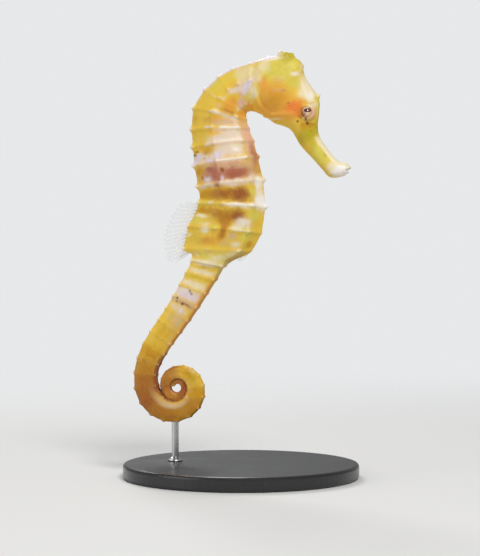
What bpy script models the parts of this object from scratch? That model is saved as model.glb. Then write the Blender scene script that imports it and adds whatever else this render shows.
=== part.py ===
"""Life-size museum model of a seahorse (Hippocampus) on a plain display stand.

The animal's plane of symmetry is the XZ plane and it faces +X. Z is up, and the origin is the
centre of the stand's underside. The body is one long tube that is sampled by a station number q:

    q = -12 to -1   head, from the tip of the snout to the nape
    q =  0 to 11    the neck and the trunk's bony rings, one ring at each whole number
    q = 12 to 50    the tail's rings, down a straight run and then round a spiral

A station is a flat section with a back point, a belly point and a half width. Each node of the
body is one stretch of the tube, and neighbouring stretches are parted by a thin gap.
Sizes in the constants are millimetres.
"""
import math

import bmesh
import bpy
from mathutils import Matrix, Vector

MM = 0.001
GAP = 0.3                       # between neighbouring solids

# Stations of the head, trunk and tail root: q, back (x, z), belly (x, z), half width.
STATIONS = (
    (-12.0, (31.0, 86.2), (30.2, 84.7), 1.0),        # lips
    (-11.0, (29.9, 87.3), (28.5, 83.7), 1.8),
    (-10.0, (28.2, 87.8), (25.1, 83.6), 2.1),        # flared end of the snout
    (-9.0, (26.5, 89.0), (22.8, 86.0), 1.9),
    (-8.0, (24.1, 92.0), (20.2, 88.9), 1.9),         # middle of the snout
    (-7.0, (22.1, 95.3), (17.0, 92.4), 2.3),         # root of the snout
    (-6.0, (21.7, 98.3), (14.4, 96.6), 2.9),
    (-5.0, (22.1, 101.8), (12.0, 98.0), 3.3),        # eyes
    (-4.0, (21.9, 105.6), (9.6, 98.8), 3.6),
    (-3.0, (18.2, 111.6), (7.8, 100.1), 4.0),        # forehead
    (-2.3, (17.0, 115.8), (6.8, 100.7), 4.4),
    (-1.7, (13.2, 117.5), (6.2, 101.1), 4.7),        # gill covers
    (-1.0, (8.0, 117.3), (5.0, 101.7), 4.6),         # nape
    (0.0, (3.2, 115.7), (3.6, 102.3), 4.3),          # neck
    (1.0, (-1.9, 114.2), (2.6, 102.4), 4.3),
    (2.0, (-5.9, 112.0), (1.8, 102.1), 4.5),
    (3.0, (-9.8, 108.5), (1.4, 101.5), 4.8),
    (4.0, (-13.0, 103.4), (1.5, 100.1), 5.1),
    (5.0, (-13.6, 97.4), (2.2, 97.6), 5.3),
    (6.0, (-13.3, 92.4), (3.5, 94.1), 5.5),
    (7.0, (-12.8, 87.1), (4.7, 89.6), 5.8),
    (8.0, (-11.8, 81.3), (6.2, 83.1), 6.0),          # deepest point of the belly
    (9.0, (-11.4, 76.8), (6.8, 75.6), 6.0),
    (10.0, (-14.4, 70.3), (5.7, 68.3), 5.4),
    (11.0, (-15.9, 64.0), (2.7, 63.0), 4.4),         # last ring of the trunk
    (11.5, (-13.8, 62.4), (-1.9, 60.7), 4.3),
)

# Tail: a straight run, a bend, and a spiral whose radius shrinks by a fixed ratio each quarter.
TAIL_Q = 12.0                   # first tail ring
TAIL_START = (-8.4, 61.2)
TAIL_BEND = (-20.1, 42.8)       # end of the straight run
COIL_CENTRE = (-18.4, 24.9)
COIL_R = 8.8                    # centre line's radius where the spiral starts
COIL_RATIO = 0.79               # radius after each quarter turn
COIL_Q = 22.0                   # ring at the start of the spiral
COIL_STEP = 21.8                # degrees from one ring to the next
COIL_STEP_GROWTH = 0.12         # rings grow longer, for their size, towards the tip
TAIL_ROOT_DEPTH = 4.6           # half depth and half width at the tail's first ring
TAIL_ROOT_WIDTH = 4.1
COIL_DEPTHS = (0.355, 0.383)    # half depth as a share of the spiral's radius: start, then on
COIL_WIDTH = 0.30
TAIL_TAPER = 0.33               # under 1, the tail thins early
TAIL_SWAY = 0.4                 # the straight run bows forward, then back, by this much
ROOT_LEAD = 0.7                 # the first ring leans down at the back by this many rings
TAIL_FRONT = (0.84, -0.54)      # from the straight run's back to its front
BEND_CROWD = 0.04               # the rings of the straight run are the longer ones
TAIL_TIP_Q = 50.4

# Half profiles from the middle of the back to the middle of the belly, as shares of the
# half depth and half width. Points 1, 3, 5 and 7 are the ridges.
HEAD_PROFILE = ((1.0, 0.0), (0.93, 0.42), (0.66, 0.78), (0.22, 1.0), (-0.28, 0.97),
                (-0.68, 0.72), (-0.93, 0.36), (-1.0, 0.0))
TRUNK_PROFILE = ((0.90, 0.0), (1.0, 0.42), (0.62, 0.78), (0.20, 1.0), (-0.30, 0.90),
                 (-0.70, 0.62), (-0.88, 0.30), (-1.0, 0.0))
TAIL_PROFILE = ((0.86, 0.0), (1.0, 0.68), (0.52, 0.92), (0.0, 0.88), (-0.52, 0.88),
                (-1.0, 0.64), (-0.93, 0.32), (-0.91, 0.0))

SUPERIOR, LATERAL, INFERIOR, KEEL = 1, 3, 5, 7
RING_PHASE = 0.26               # a ring's ridge rises and falls over this part of its pitch
GROOVE = 0.975                  # the body between two rings, as a share of its ridge
TRUNK_SPINES = {SUPERIOR: 0.60, LATERAL: 0.35, INFERIOR: 0.45, KEEL: 0.75}
TAIL_SPINES = {SUPERIOR: 0.42, LATERAL: 0.0, INFERIOR: 0.12, KEEL: 0.0}
THROAT_END = 3.0                # up to this ring the belly side is smooth
KEEL_END = 9.8                  # past here the belly's middle has no spines
TIP_FADE = 17.0                 # the tail's spines die out over its last rings

# Body stretches: name, first and last q, material.
STRETCHES = (
    ("snout", -12.0, -6.5, "snout"),
    ("head", -6.5, -0.5, "head"),
    ("neck", -0.5, 1.5, "trunk"),
    ("chest", 1.5, 4.5, "trunk"),
    ("trunk_upper", 4.5, 6.5, "trunk"),
    ("trunk_middle", 6.5, 8.5, "trunk"),
    ("trunk_lower", 8.5, 12.5, "trunk"),
    ("tail_root", 12.5, 15.5, "tail"),
    ("tail_middle", 15.5, 19.5, "tail"),
    ("tail_bend", 19.5, 22.5, "tail"),
    ("tail_coil_1", 22.5, 26.5, "tail"),
    ("tail_coil_2", 26.5, 30.5, "tail"),
    ("tail_coil_3", 30.5, 35.5, "tail"),
    ("tail_coil_4", 35.5, 41.5, "tail"),
    ("tail_tip", 41.5, TAIL_TIP_Q, "tail"),
)

EYE_CENTRE = (19.1, 2.35, 101.3)
EYE_R = 1.65
ORBIT_CENTRE = (18.9, 1.6, 101.3)
ORBIT_R = 2.6
BALL_SEGMENTS, BALL_RINGS = 16, 10

CORONET_BASE = (13.2, 0.0, 115.1)
CORONET_AXIS = (-0.06, 0.0, 1.0)        # it leans back a little
CORONET_RADII = (3.7, 2.6)              # half length and half width at its foot
CORONET_HEIGHT = 3.4
CORONET_POINTS = 5
CORONET_REAR = 1.4                      # how far the rear points rise above the others
CORONET_FALL = 0.3                      # and how far the front point lies below them

# Small spines of the head: tip, radius at the foot, foot. The ones with y not 0 are mirrored.
HEAD_SPINES = (
    ((22.7, 0.0, 106.7), 1.2, (20.2, 0.0, 105.5)),       # between the eyes
    ((17.6, 2.3, 113.5), 0.8, (16.2, 1.9, 111.6)),       # above each eye
    ((6.6, 3.3, 100.6), 0.8, (8.6, 2.4, 102.4)),         # cheek
    ((6.6, 0.0, 100.6), 0.8, (7.6, 0.0, 102.6)),         # throat
    ((7.5, 0.0, 117.9), 1.4, (8.4, 0.0, 115.2)),         # nape
)

FIN_T = 0.5
DORSAL_BASE = ((-11.0, 76.2), (-14.6, 62.8))     # upper and lower end of its foot, in the body
DORSAL_REACH = (5.8, 9.4, 6.8)                   # ray lengths from the foot: top, middle, low
DORSAL_ANGLES = (166.0, 190.0, 214.0)            # ray directions from +X, in the XZ plane
DORSAL_RAYS = 17
PECTORAL_BASE = ((5.2, 110.4), (4.8, 106.2))     # upper and lower end of its foot
PECTORAL_Y = 3.5                                 # where the foot line lies, inside the body
PECTORAL_REACH = (3.6, 5.6, 4.2)
PECTORAL_ANGLES = (158.0, 182.0, 214.0)
PECTORAL_LEAN = 24.0                             # degrees out from the flank
PECTORAL_RAYS = 15
ANAL_BASE = ((1.6, 64.2), (-0.8, 62.6))
ANAL_REACH = (2.4, 2.8, 2.3)
ANAL_ANGLES = (282.0, 274.0, 262.0)
ANAL_RAYS = 4

STAND_R = 33.0
STAND_H = 4.0
STAND_EDGE = 0.8                # bevel of the base's rims
ROD_R = 1.0
ROD_Q = 25.78                   # the tail station that rests on the rod
ROD_GAP = 0.1

MATERIALS = {
    "snout": ((0.66, 0.52, 0.17), 0.45, 0.0),
    "head": ((0.70, 0.45, 0.08), 0.45, 0.0),
    "trunk": ((0.68, 0.44, 0.10), 0.45, 0.0),
    "tail": ((0.62, 0.36, 0.08), 0.45, 0.0),
    "coronet": ((0.55, 0.52, 0.16), 0.45, 0.0),
    "fin": ((0.72, 0.74, 0.66), 0.30, 0.0),
    "eye": ((0.16, 0.04, 0.03), 0.08, 0.0),
    "stand_base": ((0.03, 0.03, 0.03), 0.35, 0.0),
    "stand_rod": ((0.62, 0.62, 0.62), 0.30, 1.0),
}


def clear_scene():
    """Removes whatever the opened file holds."""
    for ob in list(bpy.data.objects):
        bpy.data.objects.remove(ob, do_unlink=True)


def make_collection(name):
    """A new collection in the scene."""
    collection = bpy.data.collections.new(name)
    bpy.context.scene.collection.children.link(collection)
    return collection


def make_material(name):
    """The Principled material of one slot."""
    color, roughness, metallic = MATERIALS[name]
    material = bpy.data.materials.get(name)
    if material is None:
        material = bpy.data.materials.new(name)
        material.use_nodes = True
        shader = material.node_tree.nodes["Principled BSDF"]
        shader.inputs["Base Color"].default_value = (*color, 1.0)
        shader.inputs["Roughness"].default_value = roughness
        shader.inputs["Metallic"].default_value = metallic
        material.diffuse_color = (*color, 1.0)
    return material


def add_object(name, bm, collection, material=None):
    """Turns a bmesh in millimetres into an object in metres."""
    bmesh.ops.scale(bm, vec=(MM, MM, MM), verts=bm.verts)
    bmesh.ops.recalc_face_normals(bm, faces=bm.faces)
    if bm.calc_volume(signed=True) < 0.0:
        bmesh.ops.reverse_faces(bm, faces=bm.faces)
    mesh = bpy.data.meshes.new(name)
    bm.to_mesh(mesh)
    bm.free()
    ob = bpy.data.objects.new(name, mesh)
    if material:
        mesh.materials.append(make_material(material))
    collection.objects.link(ob)
    return ob


def mark_cutter(ob):
    """Hides a cutting tool from the finished model."""
    ob.hide_render = True
    ob.display_type = "WIRE"
    return ob


def boolean(ob, tool, operation):
    """Adds a live boolean between two objects."""
    modifier = ob.modifiers.new(operation.lower(), "BOOLEAN")
    modifier.operation = operation
    modifier.object = tool
    modifier.solver = "EXACT"


def mix(a, b, t):
    """Linear mix of two numbers."""
    return a + (b - a) * t


def smooth(t):
    """Eases from 0 to 1."""
    t = min(max(t, 0.0), 1.0)
    return t * t * (3.0 - 2.0 * t)


def three_way(values, t):
    """A smooth curve through a first, a middle and a last value."""
    first, middle, last = values
    bulge = 2.0 * middle - 0.5 * (first + last)
    return first * (1 - t) ** 2 + 2.0 * bulge * t * (1 - t) + last * t ** 2


def catmull_rom(p, t):
    """The curve from p[1] to p[2] at t, past four numbers."""
    a = 2.0 * p[1]
    b = p[2] - p[0]
    c = 2.0 * p[0] - 5.0 * p[1] + 4.0 * p[2] - p[3]
    d = -p[0] + 3.0 * p[1] - 3.0 * p[2] + p[3]
    return 0.5 * (a + b * t + c * t * t + d * t ** 3)


def coil_angle(q):
    """Degrees round the spiral at tail ring q."""
    rings = q - COIL_Q
    return rings * (COIL_STEP + COIL_STEP_GROWTH * rings)


def coil_radius(q):
    """Radius of the spiral's centre line at tail ring q."""
    return COIL_R * COIL_RATIO ** (coil_angle(q) / 90.0)


def coil_depth(q):
    """Half depth of the tail at ring q of the spiral."""
    return coil_radius(q) * mix(*COIL_DEPTHS, smooth((q - COIL_Q) / 6.0))


def coil_point(q):
    """Centre line of the spiral: it starts at its left side and runs down, right, up."""
    angle = math.radians(coil_angle(q))
    radius = coil_radius(q)
    x = COIL_CENTRE[0] - radius * math.cos(angle)
    z = COIL_CENTRE[1] - radius * math.sin(angle)
    return Vector((x, z))


def bend_path():
    """Polyline of the straight run and the bend that leads into the spiral."""
    start, bend, end = Vector(TAIL_START), Vector(TAIL_BEND), coil_point(COIL_Q)
    reach = (end - bend).length
    out = (bend - start).normalized() * reach
    inward = (coil_point(COIL_Q + 0.01) - end).normalized() * reach
    path = [start]
    for step in range(41):
        t = step / 40.0
        h1 = 2 * t ** 3 - 3 * t * t + 1
        h2 = t ** 3 - 2 * t * t + t
        h3 = -2 * t ** 3 + 3 * t * t
        h4 = t ** 3 - t * t
        path.append(bend * h1 + out * h2 + end * h3 + inward * h4)
    return path


BEND_PATH = bend_path()


def along_bend(share):
    """A point at this share of the bend path's length."""
    lengths = [(b - a).length for a, b in zip(BEND_PATH, BEND_PATH[1:])]
    left = share * sum(lengths)
    for a, b, length in zip(BEND_PATH, BEND_PATH[1:], lengths):
        if left <= length:
            return a.lerp(b, left / length)
        left -= length
    return BEND_PATH[-1] + (BEND_PATH[-1] - BEND_PATH[-2]).normalized() * left


def tail_centre(q):
    """Centre line of the tail at ring q."""
    if q >= COIL_Q:
        return coil_point(q)
    share = max(q - TAIL_Q, 0.0) / (COIL_Q - TAIL_Q)
    turn = math.pi * share
    sway = TAIL_SWAY * math.sin(turn) * math.sin(2.0 * turn)
    return along_bend(share + BEND_CROWD * math.sin(turn)) + Vector(TAIL_FRONT) * sway


def tail_section(q):
    """Centre, direction to the back, half depth and half width square to the tail at ring q."""
    ahead = (tail_centre(q + 0.05) - tail_centre(q - 0.05)).normalized()
    if q >= COIL_Q:
        depth, width = coil_depth(q), COIL_WIDTH * coil_radius(q)
    else:
        share = ((q - TAIL_Q) / (COIL_Q - TAIL_Q)) ** TAIL_TAPER
        depth = mix(TAIL_ROOT_DEPTH, coil_depth(COIL_Q), share)
        width = mix(TAIL_ROOT_WIDTH, COIL_WIDTH * COIL_R, share)
    return tail_centre(q), Vector((ahead.y, -ahead.x)), depth, width


def tail_station(q):
    """Back point, belly point and half width of the tail at ring q."""
    left = max(COIL_Q - q, 0.0) / (COIL_Q - TAIL_Q)
    centre, way, depth, _ = tail_section(q + ROOT_LEAD * left ** 4)
    back = centre + way * depth
    centre, way, depth, width = tail_section(q)
    return back, centre - way * depth, width


def station_table():
    """The stated stations, followed by the first rings of the tail."""
    rows = [(q, Vector(back), Vector(belly), width) for q, back, belly, width in STATIONS]
    rows += [(q, *tail_station(q)) for q in (TAIL_Q, TAIL_Q + 1.0, TAIL_Q + 2.0)]
    return rows


TABLE = station_table()


def body_station(q):
    """Back point, belly point and half width anywhere along the body."""
    if q >= TAIL_Q:
        return tail_station(q)
    i = 0
    while TABLE[i + 1][0] < q:
        i += 1
    rows = [TABLE[max(i - 1, 0)], TABLE[i], TABLE[i + 1], TABLE[i + 2]]
    t = (q - rows[1][0]) / (rows[2][0] - rows[1][0])
    back = Vector([catmull_rom([row[1][k] for row in rows], t) for k in (0, 1)])
    belly = Vector([catmull_rom([row[2][k] for row in rows], t) for k in (0, 1)])
    return back, belly, catmull_rom([row[3] for row in rows], t)


def profile_at(q):
    """The half profile at q: head, trunk or tail, or a blend of two of them."""
    if q < 2.0:
        first, second, t = HEAD_PROFILE, TRUNK_PROFILE, smooth((q + 1.5) / 2.5)
    else:
        first, second, t = TRUNK_PROFILE, TAIL_PROFILE, smooth((q - 11.0) / 2.0)
    return [(mix(a[0], b[0], t), mix(a[1], b[1], t)) for a, b in zip(first, second)]


def ring_rise(q):
    """1 on a ring's ridge, 0 beside it. The head has no rings."""
    if q < -0.5:
        return 0.0
    return max(0.0, 1.0 - abs(q - round(q)) / RING_PHASE)


def spine_height(q, ridge):
    """Height of the spine on a ridge at q, in millimetres."""
    tail_share = smooth((q - 11.0) / 2.0)
    height = mix(TRUNK_SPINES[ridge], TAIL_SPINES[ridge], tail_share)
    if ridge == SUPERIOR:
        height *= mix(0.5, 1.0, smooth((q - 1.0) / 3.0))
    if ridge == INFERIOR:
        height *= smooth((q - THROAT_END) / 2.0)
    if ridge == KEEL:
        height *= smooth((q - 2.0 * THROAT_END) / 2.0) * smooth((KEEL_END - q) / 0.6)
    if q > COIL_Q:
        height *= coil_radius(q) / COIL_R * smooth((TAIL_TIP_Q - q) / TIP_FADE)
    return height * ring_rise(q)


def groove_share(q, depth):
    """How deep the groove between rings is at a profile point: none in the throat's crook."""
    crook = smooth((THROAT_END + 2.0 - q) / 3.0)
    return mix(1.0, 0.5 + 0.5 * depth, crook)


def section(q):
    """One closed section of the body, as points round it from the back's middle."""
    back, belly, half_width = body_station(q)
    centre = (back + belly) / 2.0
    up = (back - belly) / 2.0
    half_depth = up.length
    way = up.normalized()
    groove = 0.0 if q < -0.5 else (1.0 - GROOVE) * (1.0 - ring_rise(q))
    right = []
    for i, (depth, width) in enumerate(profile_at(q)):
        size = 1.0 - groove * groove_share(q, depth)
        d = depth * half_depth * size
        y = width * half_width * size
        if i in TRUNK_SPINES:
            out = Vector((depth * 0.9, width * 0.6)).normalized() * spine_height(q, i)
            d += out.x
            y += out.y if width else 0.0
        right.append((d, y))
    left = [(d, -y) for d, y in reversed(right[1:-1])]
    points = []
    for d, y in right + left:
        place = centre + way * d
        points.append(Vector((place.x, y, place.y)))
    return points


def loft(bm, sections):
    """Closed tube through sections with the same number of points."""
    rows = [[bm.verts.new(p) for p in points] for points in sections]
    count = len(rows[0])
    for a, b in zip(rows, rows[1:]):
        for i in range(count):
            j = (i + 1) % count
            bm.faces.new((a[i], a[j], b[j], b[i]))
    bm.faces.new(rows[0])
    bm.faces.new(rows[-1])


def station_list(q0, q1):
    """Where a stretch is sampled: its ends, each ridge and each ridge's two feet."""
    inside = []
    if q0 < -0.5:
        steps = int(math.ceil(min(q1, -0.5) - q0) * 2)
        inside += [mix(q0, min(q1, -0.5), i / steps) for i in range(1, steps)]
    for ring in range(int(max(q0, 0.0)) - 1, int(q1) + 2):
        inside += [ring - RING_PHASE, ring, ring + RING_PHASE]
    inside = [q for q in inside if q0 + 0.08 < q < q1 - 0.08 and (q < -0.5 or q > -0.3)]
    return [q0] + sorted(set(inside)) + [q1]


def pulled_section(q, way):
    """The section at a cut, moved half the gap along the body, back (-1) or on (1)."""
    points = section(q)
    back, belly, _ = body_station(q)
    up = (back - belly).normalized()
    ahead = Vector((-up.y, 0.0, up.x))
    move = ahead * (0.5 * GAP * way)
    return [point + move for point in points]


def body_stretch(name, q0, q1, material, collection):
    """One length of the body, short of its neighbours by half the gap at each cut."""
    sections = [section(q) for q in station_list(q0, q1)]
    if q0 > STATIONS[0][0]:
        sections[0] = pulled_section(q0, 1)
    if q1 < TAIL_TIP_Q:
        sections[-1] = pulled_section(q1, -1)
    bm = bmesh.new()
    loft(bm, sections)
    return add_object(name, bm, collection, material)


def swollen_body(name, q0, q1, collection):
    """A cutter: a stretch of the body, thicker all round by the gap."""
    bm = bmesh.new()
    loft(bm, [section(q) for q in station_list(q0, q1)])
    ob = mark_cutter(add_object(name, bm, collection))
    swell = ob.modifiers.new("swell", "DISPLACE")
    swell.strength = GAP * MM
    swell.mid_level = 0.0
    return ob


def ball(name, centre, radius, collection, material=None):
    """A sphere with its poles along Y."""
    bm = bmesh.new()
    bmesh.ops.create_uvsphere(bm, u_segments=BALL_SEGMENTS, v_segments=BALL_RINGS, radius=radius)
    bmesh.ops.rotate(bm, verts=bm.verts, cent=(0, 0, 0), matrix=Matrix.Rotation(math.pi / 2, 3, "X"))
    bmesh.ops.translate(bm, verts=bm.verts, vec=centre)
    return add_object(name, bm, collection, material)


def spike(name, tip, radius, foot, collection):
    """A cone from a foot inside the body to a spine's tip."""
    tip, foot = Vector(tip), Vector(foot)
    axis = tip - foot
    bm = bmesh.new()
    bmesh.ops.create_cone(bm, cap_ends=True, segments=7, radius1=radius, radius2=0.12,
                          depth=axis.length)
    turn = axis.to_track_quat("Z", "Y").to_matrix()
    bmesh.ops.rotate(bm, verts=bm.verts, cent=(0, 0, 0), matrix=turn)
    bmesh.ops.translate(bm, verts=bm.verts, vec=(tip + foot) / 2.0)
    return mark_cutter(add_object(name, bm, collection))


def dress_head(head, tools):
    """Joins the orbits and small spines to the head and cuts the eyes' sockets."""
    for side in (-1, 1):
        x, y, z = ORBIT_CENTRE
        orbit = mark_cutter(ball(f"orbit_{side}", (x, side * y, z), ORBIT_R, tools))
        boolean(head, orbit, "UNION")
    for i, (tip, radius, foot) in enumerate(HEAD_SPINES):
        for side in ((1,) if tip[1] == 0.0 else (-1, 1)):
            tip_here = (tip[0], side * tip[1], tip[2])
            foot_here = (foot[0], side * foot[1], foot[2])
            boolean(head, spike(f"spine_{i}_{side}", tip_here, radius, foot_here, tools), "UNION")
    for side in (-1, 1):
        x, y, z = EYE_CENTRE
        socket = mark_cutter(ball(f"socket_{side}", (x, side * y, z), EYE_R + GAP, tools))
        boolean(head, socket, "DIFFERENCE")


def coronet(body, collection):
    """The crown: a low star-shaped cup of five blunt points that leans back."""
    axis = Vector(CORONET_AXIS).normalized()
    across = Vector((0.0, 1.0, 0.0))
    along = across.cross(axis)
    levels = ((0.0, 1.0, 0.05), (0.45, 0.84, 0.12), (0.8, 0.70, 0.26), (1.0, 0.58, 0.36))
    count = CORONET_POINTS * 4
    sections = []
    for height, size, star in levels:
        points = []
        for i in range(count):
            turn = 2.0 * math.pi * i / count
            point = 0.5 + 0.5 * math.cos(CORONET_POINTS * turn)
            reach = size * (1.0 - star * (1.0 - point))
            rise = CORONET_HEIGHT * height * (0.72 + 0.28 * point if height == 1.0 else 1.0)
            rise += CORONET_REAR * height * point * max(0.0, -math.cos(turn)) ** 1.5
            rise -= CORONET_FALL * height * max(0.0, math.cos(turn))
            points.append(Vector(CORONET_BASE) + axis * rise
                          + along * (CORONET_RADII[0] * reach * math.cos(turn))
                          + across * (CORONET_RADII[1] * reach * math.sin(turn)))
        sections.append(points)
    bm = bmesh.new()
    loft(bm, sections)
    ob = add_object("coronet", bm, collection, "coronet")
    boolean(ob, body, "DIFFERENCE")
    return ob


def fin_outline(base, reach, angles, rays):
    """Pairs of foot and tip for the rays of a fan in a plane, first to last."""
    pairs = []
    for i in range(rays):
        t = i / (rays - 1)
        foot = Vector(base[0]).lerp(Vector(base[1]), t)
        angle = math.radians(three_way(angles, t))
        pairs.append((foot, foot + Vector((math.cos(angle), math.sin(angle))) * three_way(reach, t)))
    return pairs


def fin_plate(name, pairs, place, body, collection):
    """A thin plate over the rays, cut clear of the body. place puts a plane point in space."""
    outline = [foot for foot, tip in pairs] + [tip for foot, tip in reversed(pairs)]
    bm = bmesh.new()
    half = FIN_T / 2.0
    rows = [[bm.verts.new(place(p, side * half)) for p in outline] for side in (-1, 1)]
    count = len(pairs)
    last = len(outline) - 1
    for row in rows:
        for i in range(count - 1):
            bm.faces.new((row[i], row[i + 1], row[last - i - 1], row[last - i]))
    for i in range(len(outline)):
        j = (i + 1) % len(outline)
        bm.faces.new((rows[0][i], rows[0][j], rows[1][j], rows[1][i]))
    ob = add_object(name, bm, collection, "fin")
    boolean(ob, body, "DIFFERENCE")
    return ob


def upright(point, offset):
    """A point of the plane of symmetry, offset sideways."""
    return Vector((point.x, offset, point.y))


def make_fins(body, collection):
    """The dorsal, anal and two pectoral fins."""
    dorsal = fin_outline(DORSAL_BASE, DORSAL_REACH, DORSAL_ANGLES, DORSAL_RAYS)
    fin_plate("dorsal_fin", dorsal, upright, body, collection)
    anal = fin_outline(ANAL_BASE, ANAL_REACH, ANAL_ANGLES, ANAL_RAYS)
    fin_plate("anal_fin", anal, upright, body, collection)
    pairs = fin_outline(PECTORAL_BASE, PECTORAL_REACH, PECTORAL_ANGLES, PECTORAL_RAYS)
    lean = math.radians(PECTORAL_LEAN)
    for name, side in (("pectoral_fin_right", -1), ("pectoral_fin_left", 1)):
        def place(point, offset, side=side):
            """Leans the fan out from the flank, hinged at its foot line."""
            back = PECTORAL_BASE[0][0] - point.x
            x = PECTORAL_BASE[0][0] - back * math.cos(lean) + offset * math.sin(lean)
            y = PECTORAL_Y + back * math.sin(lean) + offset * math.cos(lean)
            return Vector((x, side * y, point.y))
        fin_plate(name, pairs, place, body, collection)


def make_stand(collection):
    """A flat round base and one short rod up to the underside of the coiled tail."""
    bm = bmesh.new()
    bmesh.ops.create_cone(bm, cap_ends=True, segments=96, radius1=STAND_R, radius2=STAND_R,
                          depth=STAND_H)
    bmesh.ops.translate(bm, verts=bm.verts, vec=(0, 0, STAND_H / 2.0))
    base = add_object("stand_base", bm, collection, "stand_base")
    edge = base.modifiers.new("edge", "BEVEL")
    edge.width = STAND_EDGE * MM
    edge.segments = 3
    edge.limit_method = "ANGLE"
    edge.angle_limit = math.radians(40)

    back, belly, _ = body_station(ROD_Q)
    foot_z = STAND_H + ROD_GAP
    top_z = min(back.y, belly.y) - ROD_GAP
    x = back.x
    bm = bmesh.new()
    bmesh.ops.create_cone(bm, cap_ends=True, segments=24, radius1=ROD_R, radius2=ROD_R,
                          depth=top_z - foot_z)
    bmesh.ops.translate(bm, verts=bm.verts, vec=(x, 0, (top_z + foot_z) / 2.0))
    add_object("stand_rod", bm, collection, "stand_rod")


def build():
    """Makes the whole model."""
    clear_scene()
    model = make_collection("seahorse")
    tools = make_collection("tools")
    stretches = {}
    for name, q0, q1, material in STRETCHES:
        stretches[name] = body_stretch(name, q0, q1, material, model)
    dress_head(stretches["head"], tools)
    body = swollen_body("swollen_body", STATIONS[0][0], TAIL_Q + 3.5, tools)
    coronet(body, model)
    for side, word in ((-1, "right"), (1, "left")):
        x, y, z = EYE_CENTRE
        ball(f"eye_{word}", (x, side * y, z), EYE_R, model, "eye")
    make_fins(body, model)
    make_stand(model)


build()
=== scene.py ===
"""Looks of the seahorse model: one skin over the whole body, glass eyes, clear fins and a stand.

The body is sampled as in the solids, by a station number q: the head is -12 to -1, the neck and
the trunk's rings are 0 to 11, and the tail's rings are 12 to 50. f runs from 0 on the back to 1
on the belly. The plane of symmetry is XZ, and the animal faces +X. Sizes are in millimetres.
"""
import math

import bmesh
import bpy
import numpy as np
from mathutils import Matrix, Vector, geometry, noise


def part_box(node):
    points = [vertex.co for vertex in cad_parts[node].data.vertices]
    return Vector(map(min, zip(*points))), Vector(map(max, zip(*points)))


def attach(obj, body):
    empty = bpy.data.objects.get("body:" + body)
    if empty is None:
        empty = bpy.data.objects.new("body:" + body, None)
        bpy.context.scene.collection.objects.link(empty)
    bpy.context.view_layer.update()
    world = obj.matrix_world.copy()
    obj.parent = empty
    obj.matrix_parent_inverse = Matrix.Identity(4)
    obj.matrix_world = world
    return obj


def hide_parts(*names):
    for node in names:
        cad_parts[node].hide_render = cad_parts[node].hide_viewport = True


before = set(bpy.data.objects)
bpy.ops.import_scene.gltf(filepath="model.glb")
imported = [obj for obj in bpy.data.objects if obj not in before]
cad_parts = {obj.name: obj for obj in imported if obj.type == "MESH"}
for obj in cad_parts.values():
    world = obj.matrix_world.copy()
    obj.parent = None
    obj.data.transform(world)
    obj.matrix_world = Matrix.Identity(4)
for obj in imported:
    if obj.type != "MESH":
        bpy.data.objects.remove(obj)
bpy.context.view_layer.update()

MM = 0.001

# ---- The body's stations, as in the solids: q, back (x, z), belly (x, z), half width.
STATIONS = (
    (-12.0, (31.0, 86.2), (30.2, 84.7), 1.0),
    (-11.0, (29.9, 87.3), (28.5, 83.7), 1.8),
    (-10.0, (28.2, 87.8), (25.1, 83.6), 2.1),
    (-9.0, (26.5, 89.0), (22.8, 86.0), 1.9),
    (-8.0, (24.1, 92.0), (20.2, 88.9), 1.9),
    (-7.0, (22.1, 95.3), (17.0, 92.4), 2.3),
    (-6.0, (21.7, 98.3), (14.4, 96.6), 2.9),
    (-5.0, (22.1, 101.8), (12.0, 98.0), 3.3),
    (-4.0, (21.9, 105.6), (9.6, 98.8), 3.6),
    (-3.0, (18.2, 111.6), (7.8, 100.1), 4.0),
    (-2.3, (17.0, 115.8), (6.8, 100.7), 4.4),
    (-1.7, (13.2, 117.5), (6.2, 101.1), 4.7),
    (-1.0, (8.0, 117.3), (5.0, 101.7), 4.6),
    (0.0, (3.2, 115.7), (3.6, 102.3), 4.3),
    (1.0, (-1.9, 114.2), (2.6, 102.4), 4.3),
    (2.0, (-5.9, 112.0), (1.8, 102.1), 4.5),
    (3.0, (-9.8, 108.5), (1.4, 101.5), 4.8),
    (4.0, (-13.0, 103.4), (1.5, 100.1), 5.1),
    (5.0, (-13.6, 97.4), (2.2, 97.6), 5.3),
    (6.0, (-13.3, 92.4), (3.5, 94.1), 5.5),
    (7.0, (-12.8, 87.1), (4.7, 89.6), 5.8),
    (8.0, (-11.8, 81.3), (6.2, 83.1), 6.0),
    (9.0, (-11.4, 76.8), (6.8, 75.6), 6.0),
    (10.0, (-14.4, 70.3), (5.7, 68.3), 5.4),
    (11.0, (-15.9, 64.0), (2.7, 63.0), 4.4),
    (11.5, (-13.8, 62.4), (-1.9, 60.7), 4.3),
)
HEAD_END = -0.5
THROAT_END = 3.0

# ---- The tail: a straight run, a bend, and a spiral from ring COIL_Q on. The spiral's radius
# shrinks by COIL_RATIO in a quarter turn. Its first ring takes COIL_STEP degrees, the later more.
TAIL_Q, COIL_Q, TAIL_TIP_Q = 12.0, 22.0, 50.4
TAIL_START, TAIL_BEND, COIL_CENTRE = (-8.4, 61.2), (-20.1, 42.8), (-18.4, 24.9)
TAIL_FRONT = Vector((0.84, -0.54))  # from the straight run's back to its front
COIL_R, COIL_RATIO, COIL_STEP, COIL_STEP_GROWTH = 8.8, 0.79, 21.8, 0.12
COIL_DEPTHS, COIL_WIDTH = (0.355, 0.383), 0.3  # half sizes, as shares of the spiral's radius
TAIL_ROOT_DEPTH, TAIL_ROOT_WIDTH, TAIL_TAPER = 4.6, 4.1, 0.33
TAIL_SWAY = 0.4  # how far the straight run weaves
BEND_CROWD = 0.04  # how far its middle rings slip down, as a share of its length
ROOT_LEAD = 0.7  # how far the first ring leans down at the back, in rings

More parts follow.
